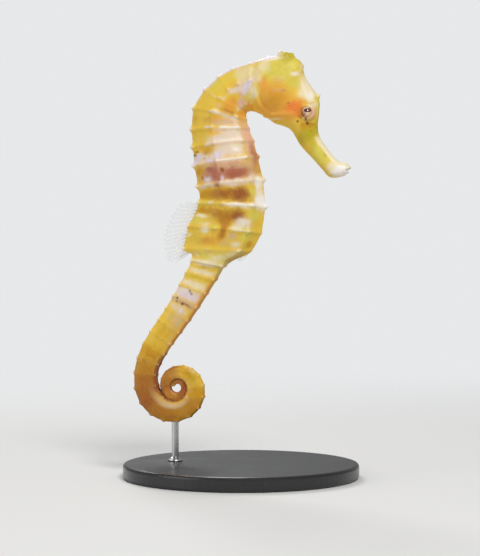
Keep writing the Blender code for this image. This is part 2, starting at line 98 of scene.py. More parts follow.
# ---- Sections: share of the half depth and of the half width, from the back to the belly.
HEAD_PROFILE = ((1.0, 0.0), (0.93, 0.42), (0.66, 0.78), (0.22, 1.0), (-0.28, 0.97),
                (-0.68, 0.72), (-0.93, 0.36), (-1.0, 0.0))
TRUNK_PROFILE = ((0.90, 0.0), (1.0, 0.42), (0.62, 0.78), (0.20, 1.0), (-0.30, 0.90),
                 (-0.70, 0.62), (-0.88, 0.30), (-1.0, 0.0))
TAIL_PROFILE = ((0.86, 0.0), (1.0, 0.68), (0.52, 0.92), (0.0, 0.88), (-0.52, 0.88),
                (-1.0, 0.64), (-0.93, 0.32), (-0.91, 0.0))
SUPERIOR, LATERAL, INFERIOR, KEEL = 1, 3, 5, 7  # the ridges, as places on the sections
GROOVE = 0.975  # the section's size between two rings, as a share of its size on them
# Height of the spines on each ridge.
TRUNK_SPINES = {SUPERIOR: 0.60, LATERAL: 0.35, INFERIOR: 0.45, KEEL: 0.75}
TAIL_SPINES = {SUPERIOR: 0.42, LATERAL: 0.0, INFERIOR: 0.12, KEEL: 0.0}
TIP_FADE = 17.0  # rings over which the spines run out towards the tip
# Where the sections change over, as a q and a number of rings from there.
TO_TRUNK = (-1.5, 2.5)
TO_TAIL = (11.0, 2.0)
SIDE_RIDGE_FADE = (11.0, 3.0)  # the side and belly ridges run out here

# ---- The skin's finer shape.
HALF_COUNTS = (6, 9, 9, 9, 8, 7, 6)  # columns between neighbouring profile points
RELIEF = ((0.0, 0.35), (2.5, 0.35), (4.0, 1.0), (10.2, 1.0), (11.0, 0.55), (21.0, 0.5),
          (24.0, 0.3))  # how strongly the rings stand out, by ring
INNER_SWELL = 0.07  # the spiral's turns swell towards each other on their inner side
INNER_WAIST, WAIST_Q = 0.45, 20.8  # and the bend before it is a little slimmer there
COLUMN_EASE = 1.4  # over 1, columns crowd towards the ridges
LIP_DEPTH = 1.3  # the mouth's cleft
HEAD_STEP = 0.19  # between rows on the head
TRUNK_ROWS, TAIL_ROWS, COIL_ROWS = 22, 14, 9  # per ring
ROW_EASE = 1.5  # over 1, rows crowd towards the rings' crests
SWELL = 0.17  # a ring's width, as a part of its pitch
CREST_W, CREST_H = 0.60, 0.17  # the thin raised line along a ring
RIDGE_W, RIDGE_H = 0.40, 0.20  # the lengthwise ridges
SPINE_R = 1.3  # a spine's radius at its foot, on the trunk
SPINE_POWER = 1.3
ROUGH_GRAIN = 1.4  # the grain of the noise along the crests

EYE_CENTRE = (19.1, 2.35, 101.3)
EYE_R = 1.65
EYE_BULGE = 0.03  # how far its front stands out of a ball
EYE_RINGS, EYE_SEGMENTS = 40, 56
PUPIL, PUPIL_RADII = (0.35, 0.55), (1.02, 0.62)  # from the eye's middle, in X and Z
ORBIT_Y, ORBIT_R = 1.6, 2.6  # the dome round the eye
SOCKET_R, LID_R, RIM_R = 1.12, 1.40, 1.85  # where the socket starts, meets the eye, and ends
DOME_FLAT_R = 1.6  # the dome is flat inside this
RIM_H, RIM_W = 0.1, 0.28  # heights and half widths of the rim and the wrinkles
WRINKLE_R, WRINKLE_H, WRINKLE_W = 2.4, 0.05, 0.7
CORONET_BASE = (12.9, 0.0, 115.1)
CORONET_AXIS = (-0.06, 0.0, 1.0)
CORONET_RADII = (2.75, 2.4)
CORONET_HEIGHT = 1.3
CORONET_REAR, CORONET_FALL = 0.1, 0.1  # how much higher its rear is, and lower its front
CORONET_POINTS, CORONET_RIBS = 5, 15
CREST_R, RIB_R = 0.62, 0.8  # shares of its radius where its points and ribs stand
GILL_CENTRE = (10.8, 106.7)
GILL_RADII = (4.8, 5.1)
GILL_HEIGHT, GILL_STREAKS, STREAK_H = 0.42, 26, 0.045
# Behind the gill cover: height, share of its radius, half width.
GILL_EDGES = ((-0.2, 1.02, 0.1), (0.2, 1.22, 0.1))  # the groove and the shoulder girdle
NOSTRIL = (20.9, 103.9)
CHEEK_HOLLOW, HOLLOW_RADII = (16.6, 107.6), (1.5, 2.2)
# Ridges on the skull: start, end, height, half width.
SKULL_RIDGES = (
    ((19.6, 104.2), (16.2, 113.6), 0.34, 0.75),  # the brow
    ((16.2, 100.9), (9.4, 100.9), 0.22, 0.7),  # the cheek
    ((20.4, 98.6), (27.8, 86.6), 0.1, 0.6),  # the snout's side edge
)
# Spines on the head: tip, radius at the foot, foot.
HEAD_SPINES = (
    ((22.65, 0.0, 106.6), 1.1, (21.7, 0.0, 106.1)),
    ((17.5, 2.2, 113.6), 1.0, (16.7, 2.0, 112.6)),
    ((6.6, 3.2, 100.6), 1.0, (7.7, 3.1, 101.6)),
    ((6.6, 0.0, 100.6), 0.9, (7.0, 0.0, 101.2)),
    ((7.6, 0.0, 118.0), 1.2, (8.2, 0.0, 117.2)),
    ((11.1, 0.0, 119.3), 0.9, (11.9, 0.0, 118.3)),
    ((18.4, 0.0, 114.8), 0.8, (17.8, 0.0, 114.5)),
)

# Fans of rays: their base line, the reach and the angle of the first, middle and last ray, and
# how many rays there are.
DORSAL_FAN = (((-11.0, 76.2), (-14.6, 62.8)), (5.8, 9.4, 6.8), (166.0, 190.0, 214.0), 17)
ANAL_FAN = (((1.6, 64.2), (-0.8, 62.6)), (2.4, 2.8, 2.3), (282.0, 274.0, 262.0), 4)
PECTORAL_FAN = (((5.2, 110.4), (4.8, 106.2)), (3.6, 5.6, 4.2), (158.0, 182.0, 214.0), 15)
PECTORAL_Y, PECTORAL_LEAN = 3.5, 24.0  # its root's distance from the middle, and its lean
RAY_POINTS, RAY_ROWS = 6, 22  # the mesh's columns for each ray, and its rows
EDGE_T, RAY_T = 0.07, 0.21  # half thickness of the membrane and of a ray

# The collar's section: radius and height. It stands this far above the base.
COLLAR = ((1.02, 0.0), (2.1, 0.0), (2.1, 0.35), (1.9, 0.55), (1.35, 0.7), (1.02, 1.3))
COLLAR_GAP = 0.01

FLESH = ("snout", "head", "coronet", "neck", "chest", "trunk_upper", "trunk_middle",
         "trunk_lower", "tail_root", "tail_middle", "tail_bend", "tail_coil_1", "tail_coil_2",
         "tail_coil_3", "tail_coil_4", "tail_tip")

# ---- The skin's pigments, in sRGB, and the markings they make. Gold lies under all the others.
PIGMENTS = {
    "gold": (231, 192, 68),
    "lemon": (220, 204, 86),
    "olive": (186, 168, 38),
    "amber": (202, 148, 22),
    "ochre": (178, 120, 30),
    "orange": (234, 164, 64),
    "blush": (238, 130, 58),
    "brown": (156, 90, 36),
    "rust": (158, 80, 30),
    "sepia": (132, 82, 32),
    "umber": (96, 52, 32),
    "mauve": (170, 98, 74),
    "rose": (228, 180, 152),
    "tan": (212, 178, 132),
    "shell": (230, 208, 184),
    "cream": (238, 224, 186),
    "violet": (222, 208, 224),
    "white": (246, 241, 232),
}
# Patches: pigment and q of the middle. Then in hundredths: f of the middle, half length in q,
# half width in f, strength.
PATCHES = (
    # nape, neck and shoulders
    ("lemon", 0.4, 20, 90, 22, 70), ("cream", -0.3, 22, 60, 20, 90), ("shell", 0.6, 20, 55, 20, 55),
    ("shell", 0.5, 46, 90, 11, 60), ("cream", -0.5, 66, 70, 14, 90), ("lemon", 0.1, 70, 40, 8, 60),
    ("orange", -0.2, 91, 110, 11, 90), ("lemon", 1.5, 16, 60, 16, 25),
    ("orange", 1.4, 36, 35, 9, 35), ("lemon", 2.4, 10, 70, 22, 55),
    ("orange", 2.7, 68, 100, 13, 90), ("orange", 3.3, 70, 50, 15, 80),
    ("ochre", 3.74, 72, 30, 22, 60), ("orange", 3.0, 95, 220, 7, 90), ("tan", 4.9, 97, 120, 6, 80),
    ("rose", 1.6, 80, 75, 9, 90), ("rose", 2.6, 85, 60, 5, 60), ("violet", -0.3, 42, 45, 10, 90),
    ("violet", 0.25, 50, 35, 10, 85), ("violet", 0.7, 58, 35, 9, 90), ("shell", 1.2, 52, 40, 8, 90),
    ("shell", 1.8, 48, 40, 7, 90), ("rose", 1.1, 66, 30, 6, 70), ("shell", 2.75, 47, 30, 6, 50),
    ("cream", 3.02, 30, 12, 26, 40), ("rose", 3.55, 49, 22, 6, 50), ("cream", 3.95, 48, 20, 6, 80),
    # rings 4 and 5
    ("amber", 4.55, 6, 28, 10, 50), ("amber", 4.55, 40, 28, 20, 70),
    ("orange", 4.5, 52, 24, 10, 70), ("rose", 4.6, 72, 32, 12, 90), ("tan", 4.7, 62, 28, 28, 80),
    ("shell", 4.62, 84, 40, 5, 70), ("shell", 5.45, 74, 45, 20, 100),
    ("shell", 5.74, 54, 30, 26, 100), ("shell", 5.2, 50, 22, 12, 50),
    ("cream", 5.62, 84, 30, 6, 60), ("violet", 5.76, 50, 13, 8, 60), ("amber", 5.3, 12, 28, 16, 30),
    ("orange", 5.3, 40, 14, 12, 50), ("rose", 5.22, 62, 12, 12, 40),
    # rings 6 and 7
    ("shell", 6.45, 63, 62, 29, 100), ("orange", 6.24, 16, 20, 24, 50),
    ("shell", 6.68, 20, 26, 24, 70), ("amber", 6.35, 27, 18, 10, 60),
    ("ochre", 6.52, 25, 13, 6, 50), ("cream", 6.3, 72, 18, 10, 70), ("violet", 6.7, 43, 30, 8, 95),
    ("violet", 6.92, 28, 16, 10, 95), ("violet", 6.58, 8, 16, 8, 90),
    ("violet", 6.88, 3, 20, 8, 90), ("shell", 6.9, 14, 15, 8, 70), ("umber", 6.32, 6, 7, 3.5, 80),
    ("umber", 6.48, 2, 7, 3, 60), ("umber", 6.78, 20, 5, 2.5, 50), ("white", 6.52, 74, 13, 7, 70),
    ("tan", 6.75, 60, 14, 5, 40), ("rose", 6.1, 95, 130, 7, 90), ("mauve", 6.85, 97, 85, 5, 60),
    ("cream", 7.08, 62, 14, 28, 90), ("rose", 7.5, 30, 50, 32, 85), ("rose", 7.5, 66, 45, 26, 80),
    ("mauve", 7.6, 30, 34, 28, 35), ("mauve", 7.6, 50, 36, 50, 25), ("amber", 7.34, 7, 20, 12, 70),
    ("tan", 7.28, 60, 10, 20, 50), ("mauve", 7.64, 68, 27, 18, 100),
    ("brown", 7.72, 66, 14, 13, 45), ("tan", 7.36, 70, 12, 14, 50),
    ("mauve", 7.65, 34, 48, 5.5, 60), ("mauve", 7.36, 27, 16, 7, 70),
    ("sepia", 7.42, 46, 10, 3, 70), ("violet", 7.76, 44, 16, 3.5, 80),
    ("violet", 7.76, 20, 18, 7, 90), ("umber", 7.66, 11, 8, 3, 60), ("tan", 7.45, 88, 30, 5, 50),
    ("shell", 7.85, 88, 22, 5, 80), ("shell", 8.05, 15, 16, 20, 80),
    ("shell", 8.04, 60, 18, 28, 95), ("shell", 8.05, 45, 16, 10, 60), ("mauve", 8.1, 34, 12, 5, 70),
    ("mauve", 7.5, 60, 50, 60, 12), ("white", 8.15, 95, 36, 6, 90),
    # rings 8 and 9
    ("amber", 8.54, 12, 34, 20, 100), ("ochre", 8.54, 36, 33, 20, 95),
    ("brown", 8.55, 42, 26, 12, 50), ("brown", 8.56, 67, 32, 17, 100),
    ("sepia", 8.62, 66, 16, 11, 35), ("brown", 8.6, 72, 40, 30, 15), ("lemon", 8.45, 87, 20, 5, 70),
    ("cream", 9.02, 64, 13, 25, 95), ("white", 8.86, 96, 38, 9, 100),
    ("cream", 8.98, 20, 12, 6, 80), ("lemon", 9.02, 7, 14, 10, 70), ("lemon", 9.36, 88, 25, 8, 90),
    ("amber", 9.34, 14, 20, 20, 90), ("ochre", 9.32, 16, 12, 14, 40),
    ("ochre", 9.4, 38, 24, 13, 85), ("brown", 9.42, 64, 24, 15, 100),
    ("ochre", 9.6, 34, 26, 28, 22), ("ochre", 9.65, 50, 26, 8, 90), ("brown", 9.66, 52, 24, 6, 50),
    ("orange", 10.12, 52, 50, 8, 85), ("ochre", 10.1, 52, 42, 5, 75),
    ("cream", 9.58, 12, 8, 12, 90), ("lemon", 9.78, 8, 14, 12, 80), ("cream", 9.84, 24, 10, 9, 60),
    ("lemon", 9.95, 38, 16, 7, 70), ("cream", 10.1, 26, 15, 7, 100),
    ("shell", 9.72, 76, 26, 12, 100), ("white", 9.72, 78, 18, 9, 60),
    ("cream", 9.92, 70, 14, 10, 90),
    # rings 10 and 11
    ("tan", 10.28, 67, 16, 8, 85), ("lemon", 10.2, 84, 34, 8, 80),
    ("orange", 10.55, 34, 24, 14, 80), ("ochre", 10.55, 30, 20, 16, 40),
    ("tan", 10.62, 60, 20, 8, 60), ("cream", 10.62, 76, 17, 7, 85), ("olive", 10.4, 12, 30, 14, 40),
    ("cream", 10.36, 4, 10, 6, 60), ("amber", 10.62, 93, 22, 5, 90),
    ("lemon", 11.5, 55, 55, 45, 80), ("olive", 10.8, 86, 30, 10, 20),
    # The ochre on the belly's edge here is painted shade under the trunk's end.
    ("ochre", 11.4, 93, 45, 8, 60), ("tan", 11.2, 45, 25, 25, 40), ("shell", 11.4, 15, 25, 6, 80),
    ("cream", 11.5, 62, 26, 18, 60), ("cream", 11.2, 80, 45, 14, 45),
    # the tail's straight run
    ("cream", 11.98, 50, 27, 48, 90), ("olive", 12.34, 50, 13, 60, 30),
    ("cream", 12.68, 50, 24, 55, 85), ("shell", 12.68, 55, 12, 12, 60),
    ("olive", 13.18, 50, 18, 60, 35), ("cream", 13.7, 50, 30, 70, 85),
    ("shell", 13.58, 58, 12, 14, 50), ("shell", 14.52, 50, 42, 90, 100),
    ("violet", 14.5, 50, 34, 50, 60), ("white", 14.26, 30, 12, 20, 40),
    ("tan", 15.12, 50, 26, 90, 90), ("shell", 15.6, 40, 30, 50, 70),
    ("brown", 15.16, 62, 9, 30, 60), ("umber", 14.31, 58, 9, 6, 70), ("umber", 14.18, 48, 8, 4, 50),
    ("umber", 14.97, 19, 8, 5, 80), ("umber", 15.21, 23, 8, 5, 70), ("umber", 15.24, 49, 8, 6, 70),
    ("violet", 15.68, 58, 18, 13, 90), ("cream", 15.7, 80, 18, 10, 50),
    ("tan", 16.3, 55, 50, 40, 50), ("tan", 16.6, 75, 70, 25, 60), ("olive", 17.9, 35, 50, 40, 25),
    ("amber", 17.6, 60, 90, 50, 50), ("tan", 17.8, 88, 60, 8, 50), ("amber", 19.3, 50, 70, 90, 85),
    ("ochre", 19.45, 62, 16, 22, 50), ("tan", 19.6, 88, 30, 8, 50), ("ochre", 20.4, 50, 90, 90, 75),
    ("ochre", 21.5, 50, 90, 120, 95), ("brown", 22.4, 40, 100, 90, 80),
    ("rust", 22.6, 30, 100, 60, 30), ("brown", 21.4, 60, 35, 50, 50),
    ("mauve", 22.4, 86, 45, 12, 70),
    # the coil
    ("ochre", 24.8, 30, 260, 70, 95), ("brown", 23.2, 30, 90, 50, 75),
    ("brown", 24.6, 35, 50, 20, 40), ("brown", 25.7, 28, 70, 20, 50),
    ("ochre", 28.0, 30, 160, 70, 85), ("tan", 25.5, 75, 290, 16, 80),
    ("cream", 25.4, 77, 130, 8, 25), ("orange", 28.1, 20, 50, 30, 30),
    ("rose", 28.4, 84, 30, 10, 50), ("amber", 29.3, 50, 70, 90, 80), ("tan", 29.5, 75, 40, 20, 40),
    ("amber", 31.6, 45, 160, 60, 80), ("olive", 31.2, 35, 80, 40, 30),
    ("cream", 31.8, 8, 60, 14, 40), ("tan", 31.0, 70, 80, 20, 30), ("tan", 32.6, 88, 90, 10, 50),
    ("orange", 34.9, 50, 190, 120, 70), ("ochre", 35.0, 50, 180, 120, 75),
    # The first brown here, along the back of the coil's inner turn, is a painted shadow where the
    # outer turn meets it.
    ("brown", 34.3, 8, 180, 14, 70), ("tan", 34.4, 60, 90, 40, 30), ("brown", 36.2, 55, 80, 50, 40),
    ("brown", 37.4, 50, 150, 120, 95), ("brown", 39.6, 40, 200, 80, 85),
    ("orange", 39.0, 50, 260, 70, 35), ("rose", 38.9, 88, 60, 12, 40),
    ("tan", 40.0, 80, 60, 14, 50), ("brown", 42.0, 50, 140, 100, 80),
    ("rust", 44.0, 50, 220, 140, 95), ("tan", 46.5, 8, 140, 20, 50),
    ("rust", 47.6, 60, 200, 90, 80), ("sepia", 49.4, 60, 120, 120, 60),
)
# Pale lines along the rings: pigment, q and f where one starts and ends, strength, half width.
LINES = (
    ("shell", 4.02, 0.32, 4.08, 0.6, 0.9, 0.45), ("shell", 4.08, 0.56, 4.32, 0.9, 0.9, 0.5),
    ("cream", 4.96, 0.02, 4.97, 0.1, 0.6, 0.3), ("shell", 4.96, 0.25, 4.97, 0.44, 0.95, 0.36),
    ("white", 4.98, 0.52, 5.05, 0.9, 0.7, 0.45), ("shell", 6.03, 0.22, 5.9, 0.5, 0.85, 0.42),
    ("white", 5.9, 0.44, 5.88, 0.88, 0.45, 0.5), ("white", 6.98, 0.38, 7.0, 0.89, 0.6, 0.36),
    ("cream", 9.98, 0.62, 9.98, 0.9, 0.4, 0.3), ("white", 8.02, 0.44, 8.0, 0.86, 0.3, 0.5),
    ("white", 9.0, 0.42, 8.98, 0.9, 0.6, 0.45), ("cream", 9.5, 0.02, 9.62, 0.2, 0.6, 0.3),
)
# Patches on the head: pigment, x and z of the middle, half length, half height, and the
# strength in hundredths.
HEAD_PATCHES = (
    ("orange", 10.0, 102.6, 6.0, 2.4, 90), ("lemon", 12.0, 113.0, 6.5, 4.6, 85),
    ("lemon", 8.0, 113.4, 2.6, 3.0, 50), ("tan", 11.5, 110.4, 2.4, 1.6, 50),
    ("cream", 7.4, 114.4, 2.4, 2.6, 70), ("lemon", 13.6, 116.6, 3.2, 2.8, 90),
    ("olive", 13.5, 117.2, 2.2, 2.3, 75), ("olive", 12.0, 113.6, 5.0, 3.0, 30),
    ("orange", 10.4, 105.4, 4.8, 4.6, 90), ("orange", 7.4, 109.0, 1.3, 2.4, 85),
    ("amber", 10.7, 104.6, 3.2, 2.9, 45), ("orange", 14.2, 100.4, 3.6, 1.7, 70),
    ("rose", 11.6, 107.5, 2.2, 0.7, 50), ("mauve", 12.9, 107.4, 0.9, 0.4, 35),
    ("lemon", 16.2, 109.4, 2.0, 1.3, 70), ("cream", 19.0, 107.1, 2.4, 3.0, 95),
    ("cream", 18.9, 110.6, 1.6, 2.6, 80), ("white", 20.2, 105.6, 1.4, 1.8, 70),
    ("cream", 15.9, 112.0, 1.5, 0.75, 95), ("white", 16.0, 112.0, 0.9, 0.4, 50),
    ("orange", 15.6, 102.8, 3.0, 2.6, 60), ("blush", 16.2, 103.0, 2.3, 1.8, 95),
    ("blush", 13.8, 102.4, 1.6, 1.2, 45), ("orange", 17.4, 104.6, 1.2, 0.9, 50),
    ("tan", 19.3, 100.4, 1.8, 2.3, 75), ("blush", 16.7, 101.0, 1.3, 1.5, 55),
    # The two browns here are painted shade behind the eye.
    ("brown", 17.75, 102.3, 0.5, 1.3, 40), ("brown", 18.0, 100.4, 0.6, 0.9, 45),
    ("ochre", 17.2, 101.0, 1.2, 1.8, 30), ("olive", 21.7, 98.0, 1.3, 2.0, 65),
    ("lemon", 22.2, 103.8, 1.1, 2.6, 80), ("rose", 20.8, 101.6, 1.2, 1.7, 75),
    # The brown here is painted shade behind the eye.
    ("shell", 20.2, 103.2, 0.9, 0.6, 90), ("brown", 17.3, 100.2, 0.5, 1.3, 45),
    ("cream", 21.2, 103.6, 0.8, 1.2, 60), ("amber", 19.2, 97.4, 2.4, 1.6, 85),
    ("ochre", 20.2, 97.8, 1.3, 0.9, 60), ("ochre", 18.2, 98.2, 1.0, 0.8, 40),
    ("olive", 20.4, 95.2, 2.0, 2.2, 85), ("olive", 18.0, 94.4, 2.4, 2.2, 80),
    ("lemon", 22.4, 90.8, 2.8, 3.4, 90), ("lemon", 24.2, 88.2, 2.2, 2.2, 75),
    ("olive", 20.6, 92.0, 1.2, 2.2, 45), ("olive", 24.2, 90.4, 1.5, 2.0, 35),
    ("white", 28.8, 86.9, 2.8, 2.8, 100), ("white", 27.8, 84.9, 2.6, 1.5, 90),
    ("cream", 25.6, 86.2, 1.4, 1.6, 60), ("umber", 23.4, 91.9, 0.3, 0.3, 45),
    ("olive", 24.2, 89.9, 0.5, 0.9, 50), ("umber", 14.2, 104.0, 0.42, 0.42, 55),
    ("umber", 15.9, 101.8, 0.28, 0.28, 45), ("umber", 16.5, 98.8, 0.42, 0.4, 85),
    ("umber", 19.3, 98.3, 0.42, 0.4, 90), ("umber", 18.9, 99.5, 0.36, 0.5, 90),
    # The white here is painted rim light along the top of the head, behind the crown.
    ("white", 8.2, 116.8, 4.5, 0.9, 80), ("sepia", 17.6, 104.4, 0.3, 0.25, 40),
    ("violet", 4.9, 112.6, 1.6, 2.2, 45), ("cream", 6.2, 110.6, 1.0, 1.3, 55),
    ("shell", 4.8, 110.2, 1.0, 1.3, 60), ("cream", 4.6, 107.2, 1.2, 2.2, 75),
    ("cream", 9.6, 99.8, 3.0, 0.5, 50), ("white", 22.4, 106.5, 0.8, 0.6, 80),
    ("cream", 17.4, 114.6, 0.7, 1.6, 60),
)

# ---- How far a broad and a fine noise push the markings' q, f, x and z about.
BROAD_GRAIN, FINE_GRAIN = 2.4, 0.9
STIRS = ((0.07, 0.05), (0.022, 0.014), (0.35, 0.15), (0.0, 0.3))
# Long markings: the q or f where each starts to show, and how far on it shows in full.
# The tail's belly side: orange, and past ring 18 brown, which is painted shade on the coil's inner
# side.
UNDERSIDE, UNDERSIDE_START, UNDERSIDE_SHADE = (0.9, 0.07), (12.0, 1.5), (18.0, 2.0)
# Painted rim light along the nape and the top of the neck.
NAPE_RIM_LIGHT, NAPE_START, NAPE_END = 0.05, (-2.0, 1.0), (5.0, -3.0)
# A painted highlight along the snout's top.
SNOUT_HIGHLIGHT, SNOUT_START = (0.3, -0.14), (-6.6, -1.0)
SPINE_WHITES = {SUPERIOR: 1.0, LATERAL: 0.25, INFERIOR: 0.5, KEEL: 0.4}
SPINE_WHITE_R = 0.6
COIL_WHITE, COIL_WHITE_START = 0.45, (19.0, 5.0)

# ---- Surroundings: the wall's colour, and the share of it that lights the model.
WALL = (0.80, 0.81, 0.82)
AMBIENT = 0.36

# Lights: name, place and size in metres, power, tint.
LIGHTS = (
    ("key", (0.30, -0.45, 0.62), 0.3, 3.95, (1.0, 0.985, 0.96)),
    ("fill", (-0.55, -0.45, 0.20), 0.5, 1.15, (0.97, 0.98, 1.0)),
    ("rim", (-0.25, 0.50, 0.50), 0.3, 2.2, (1.0, 1.0, 1.0)),
)
LIGHTS_AIM = (0.0, 0.0, 0.07)

# ---- Camera: where it stands, as an angle round the animal, and what its picture spans.
CAMERA_AZIMUTH = 12.0
LENS = 100.0
SENSOR = 36.0
PICTURE_HEIGHT = 155.7
PICTURE_CENTRE = (-0.3, 55.7)  # along the picture, and above the floor


# ---- The body's form.
def mix(a, b, t):
    """Linear mix."""
    return a + (b - a) * t


def smooth(t):
    """Eases from 0 to 1, on numbers or arrays."""
    t = np.clip(t, 0.0, 1.0)
    return t * t * (3.0 - 2.0 * t)


def rise(value, start, over):
    """Eases from 0 at start to 1 at start + over, which may lie below it."""
    return smooth((value - start) / over)


def bump(distance, size):
    """A round bump of height 1."""
    return np.exp(-(distance / size) ** 2)


def three_way(values, t):
    """A smooth curve through a first, a middle and a last value."""
    first, middle, last = values
    bulge = 2.0 * middle - 0.5 * (first + last)
    return first * (1 - t) ** 2 + 2.0 * bulge * t * (1 - t) + last * t ** 2


def catmull_rom(p, t):
    """The curve from p[1] to p[2] at t, past four numbers or points."""
    a = 2.0 * p[1]
    b = p[2] - p[0]
    c = 2.0 * p[0] - 5.0 * p[1] + 4.0 * p[2] - p[3]
    d = -p[0] + 3.0 * p[1] - 3.0 * p[2] + p[3]
    return 0.5 * (a + b * t + c * t * t + d * t ** 3)


def coil_angle(q):
    """Degrees round the spiral at tail ring q."""
    rings = q - COIL_Q
    return rings * (COIL_STEP + COIL_STEP_GROWTH * rings)


def coil_radius(q):
    """Radius of the spiral's centre line at tail ring q."""
    return COIL_R * COIL_RATIO ** (coil_angle(q) / 90.0)


def coil_depth(q):
    """Half depth of the tail at ring q of the spiral."""
    return coil_radius(q) * mix(*COIL_DEPTHS, float(rise(q, COIL_Q, 6.0)))


def coil_point(q):
    """Centre line of the spiral: it starts at its left side and runs down, right, up."""
    angle = math.radians(coil_angle(q))
    radius = coil_radius(q)
    x = COIL_CENTRE[0] - radius * math.cos(angle)
    z = COIL_CENTRE[1] - radius * math.sin(angle)
    return Vector((x, z))


def bend_path():
    """Polyline of the straight run and the bend that leads into the spiral."""
    start, bend, end = Vector(TAIL_START), Vector(TAIL_BEND), coil_point(COIL_Q)
    reach = (end - bend).length
    out = (bend - start).normalized() * reach
    inward = (coil_point(COIL_Q + 0.01) - end).normalized() * reach
    curve = (bend, bend + out / 3.0, end - inward / 3.0, end)
    return [start] + [point.xy for point in geometry.interpolate_bezier(*curve, 41)]


BEND_PATH = bend_path()


def along_bend(share):
    """A point at this share of the bend path's length."""
    lengths = [(b - a).length for a, b in zip(BEND_PATH, BEND_PATH[1:])]
    left = share * sum(lengths)
    for a, b, length in zip(BEND_PATH, BEND_PATH[1:], lengths):
        if left <= length:
            return a.lerp(b, left / length)
        left -= length
    return BEND_PATH[-1] + (BEND_PATH[-1] - BEND_PATH[-2]).normalized() * left


def tail_centre(q):
    """Centre line of the tail at ring q."""
    if q >= COIL_Q:
        return coil_point(q)
    share = max(q - TAIL_Q, 0.0) / (COIL_Q - TAIL_Q)
    turn = math.pi * share
    sway = TAIL_SWAY * math.sin(turn) * math.sin(2.0 * turn)
    return along_bend(share + BEND_CROWD * math.sin(turn)) + TAIL_FRONT * sway


def tail_section(q):
    """Centre, direction to the back, half depth and half width square to the tail at ring q."""
    ahead = (tail_centre(q + 0.05) - tail_centre(q - 0.05)).normalized()
    if q >= COIL_Q:
        depth, width = coil_depth(q), COIL_WIDTH * coil_radius(q)
    else:
        share = ((q - TAIL_Q) / (COIL_Q - TAIL_Q)) ** TAIL_TAPER
        depth = mix(TAIL_ROOT_DEPTH, coil_depth(COIL_Q), share)
        width = mix(TAIL_ROOT_WIDTH, COIL_WIDTH * COIL_R, share)
    return tail_centre(q), Vector((ahead.y, -ahead.x)), depth, width


def tail_station(q):
    """Back point, belly point and half width of the tail at ring q."""
    left = max(COIL_Q - q, 0.0) / (COIL_Q - TAIL_Q)
    centre, way, depth, _ = tail_section(q + ROOT_LEAD * left ** 4)
    back = centre + way * depth
    centre, way, depth, width = tail_section(q)
    return back, centre - way * depth, width


# The stated stations, followed by the first rings of the tail.
TABLE = [(q, Vector(back), Vector(belly), width) for q, back, belly, width in STATIONS]
TABLE += [(TAIL_Q + ring, *tail_station(TAIL_Q + ring)) for ring in range(3)]


def body_station(q):
    """Back point, belly point and half width anywhere along the body."""
    if q >= TAIL_Q:
        return tail_station(q)
    i = 0
    while TABLE[i + 1][0] < q:
        i += 1
    rows = [TABLE[max(i - 1, 0)], TABLE[i], TABLE[i + 1], TABLE[i + 2]]
    t = (q - rows[1][0]) / (rows[2][0] - rows[1][0])
    return tuple(catmull_rom([row[k] for row in rows], t) for k in (1, 2, 3))


def column_positions():
    """Where the skin's columns lie on the half profile, from 0 (back) to 7 (belly)."""
    places = []
    for i, count in enumerate(HALF_COUNTS):
        for k in range(count):
            s = k / count
            places.append(i + (s ** COLUMN_EASE if i % 2 else 1.0 - (1.0 - s) ** COLUMN_EASE))
    return np.array(places + [float(KEEL)])


def row_positions():
    """The q of each row: even steps on the head, then rows crowded at each ring's crest."""
    fine = np.linspace(STATIONS[0][0], HEAD_END, 800)
    ends = np.array([[*body_station(q)[0], *body_station(q)[1]] for q in fine])
    steps = np.diff(ends, axis=0)
    lengths = 0.5 * (np.hypot(steps[:, 0], steps[:, 1]) + np.hypot(steps[:, 2], steps[:, 3]))
    run = np.concatenate([[0.0], np.cumsum(lengths)])
    rows = list(np.interp(np.arange(0.0, run[-1], HEAD_STEP), run, fine))
    for ring in range(int(TAIL_TIP_Q) + 1):
        count = TRUNK_ROWS if ring < TAIL_Q else TAIL_ROWS if ring < COIL_Q else COIL_ROWS
        for k in range(count):
            s = 2.0 * k / count - 1.0
            q = ring + 0.5 * math.copysign(abs(s) ** ROW_EASE, s)
            if q < TAIL_TIP_Q:
                rows.append(q)
    return np.array(rows + [TAIL_TIP_Q])


def half_curve(points, columns):
    """A half profile as a smooth curve, read at the columns."""
    ends = [(points[1][0], -points[1][1]), *points, (points[-2][0], -points[-2][1])]
    starts = [min(int(place), KEEL - 1) for place in columns]
    return np.array([catmull_rom(np.array(ends[i:i + 4]), place - i)
                     for i, place in zip(starts, columns)])


def noise_at(points, size, seed=0.0):
    """Smooth noise from -1 to 1 whose grains are about this many millimetres across."""
    flat = points.reshape(-1, 3) / size + seed
    return np.array([noise.noise(Vector(p)) for p in flat]).reshape(points.shape[:-1])


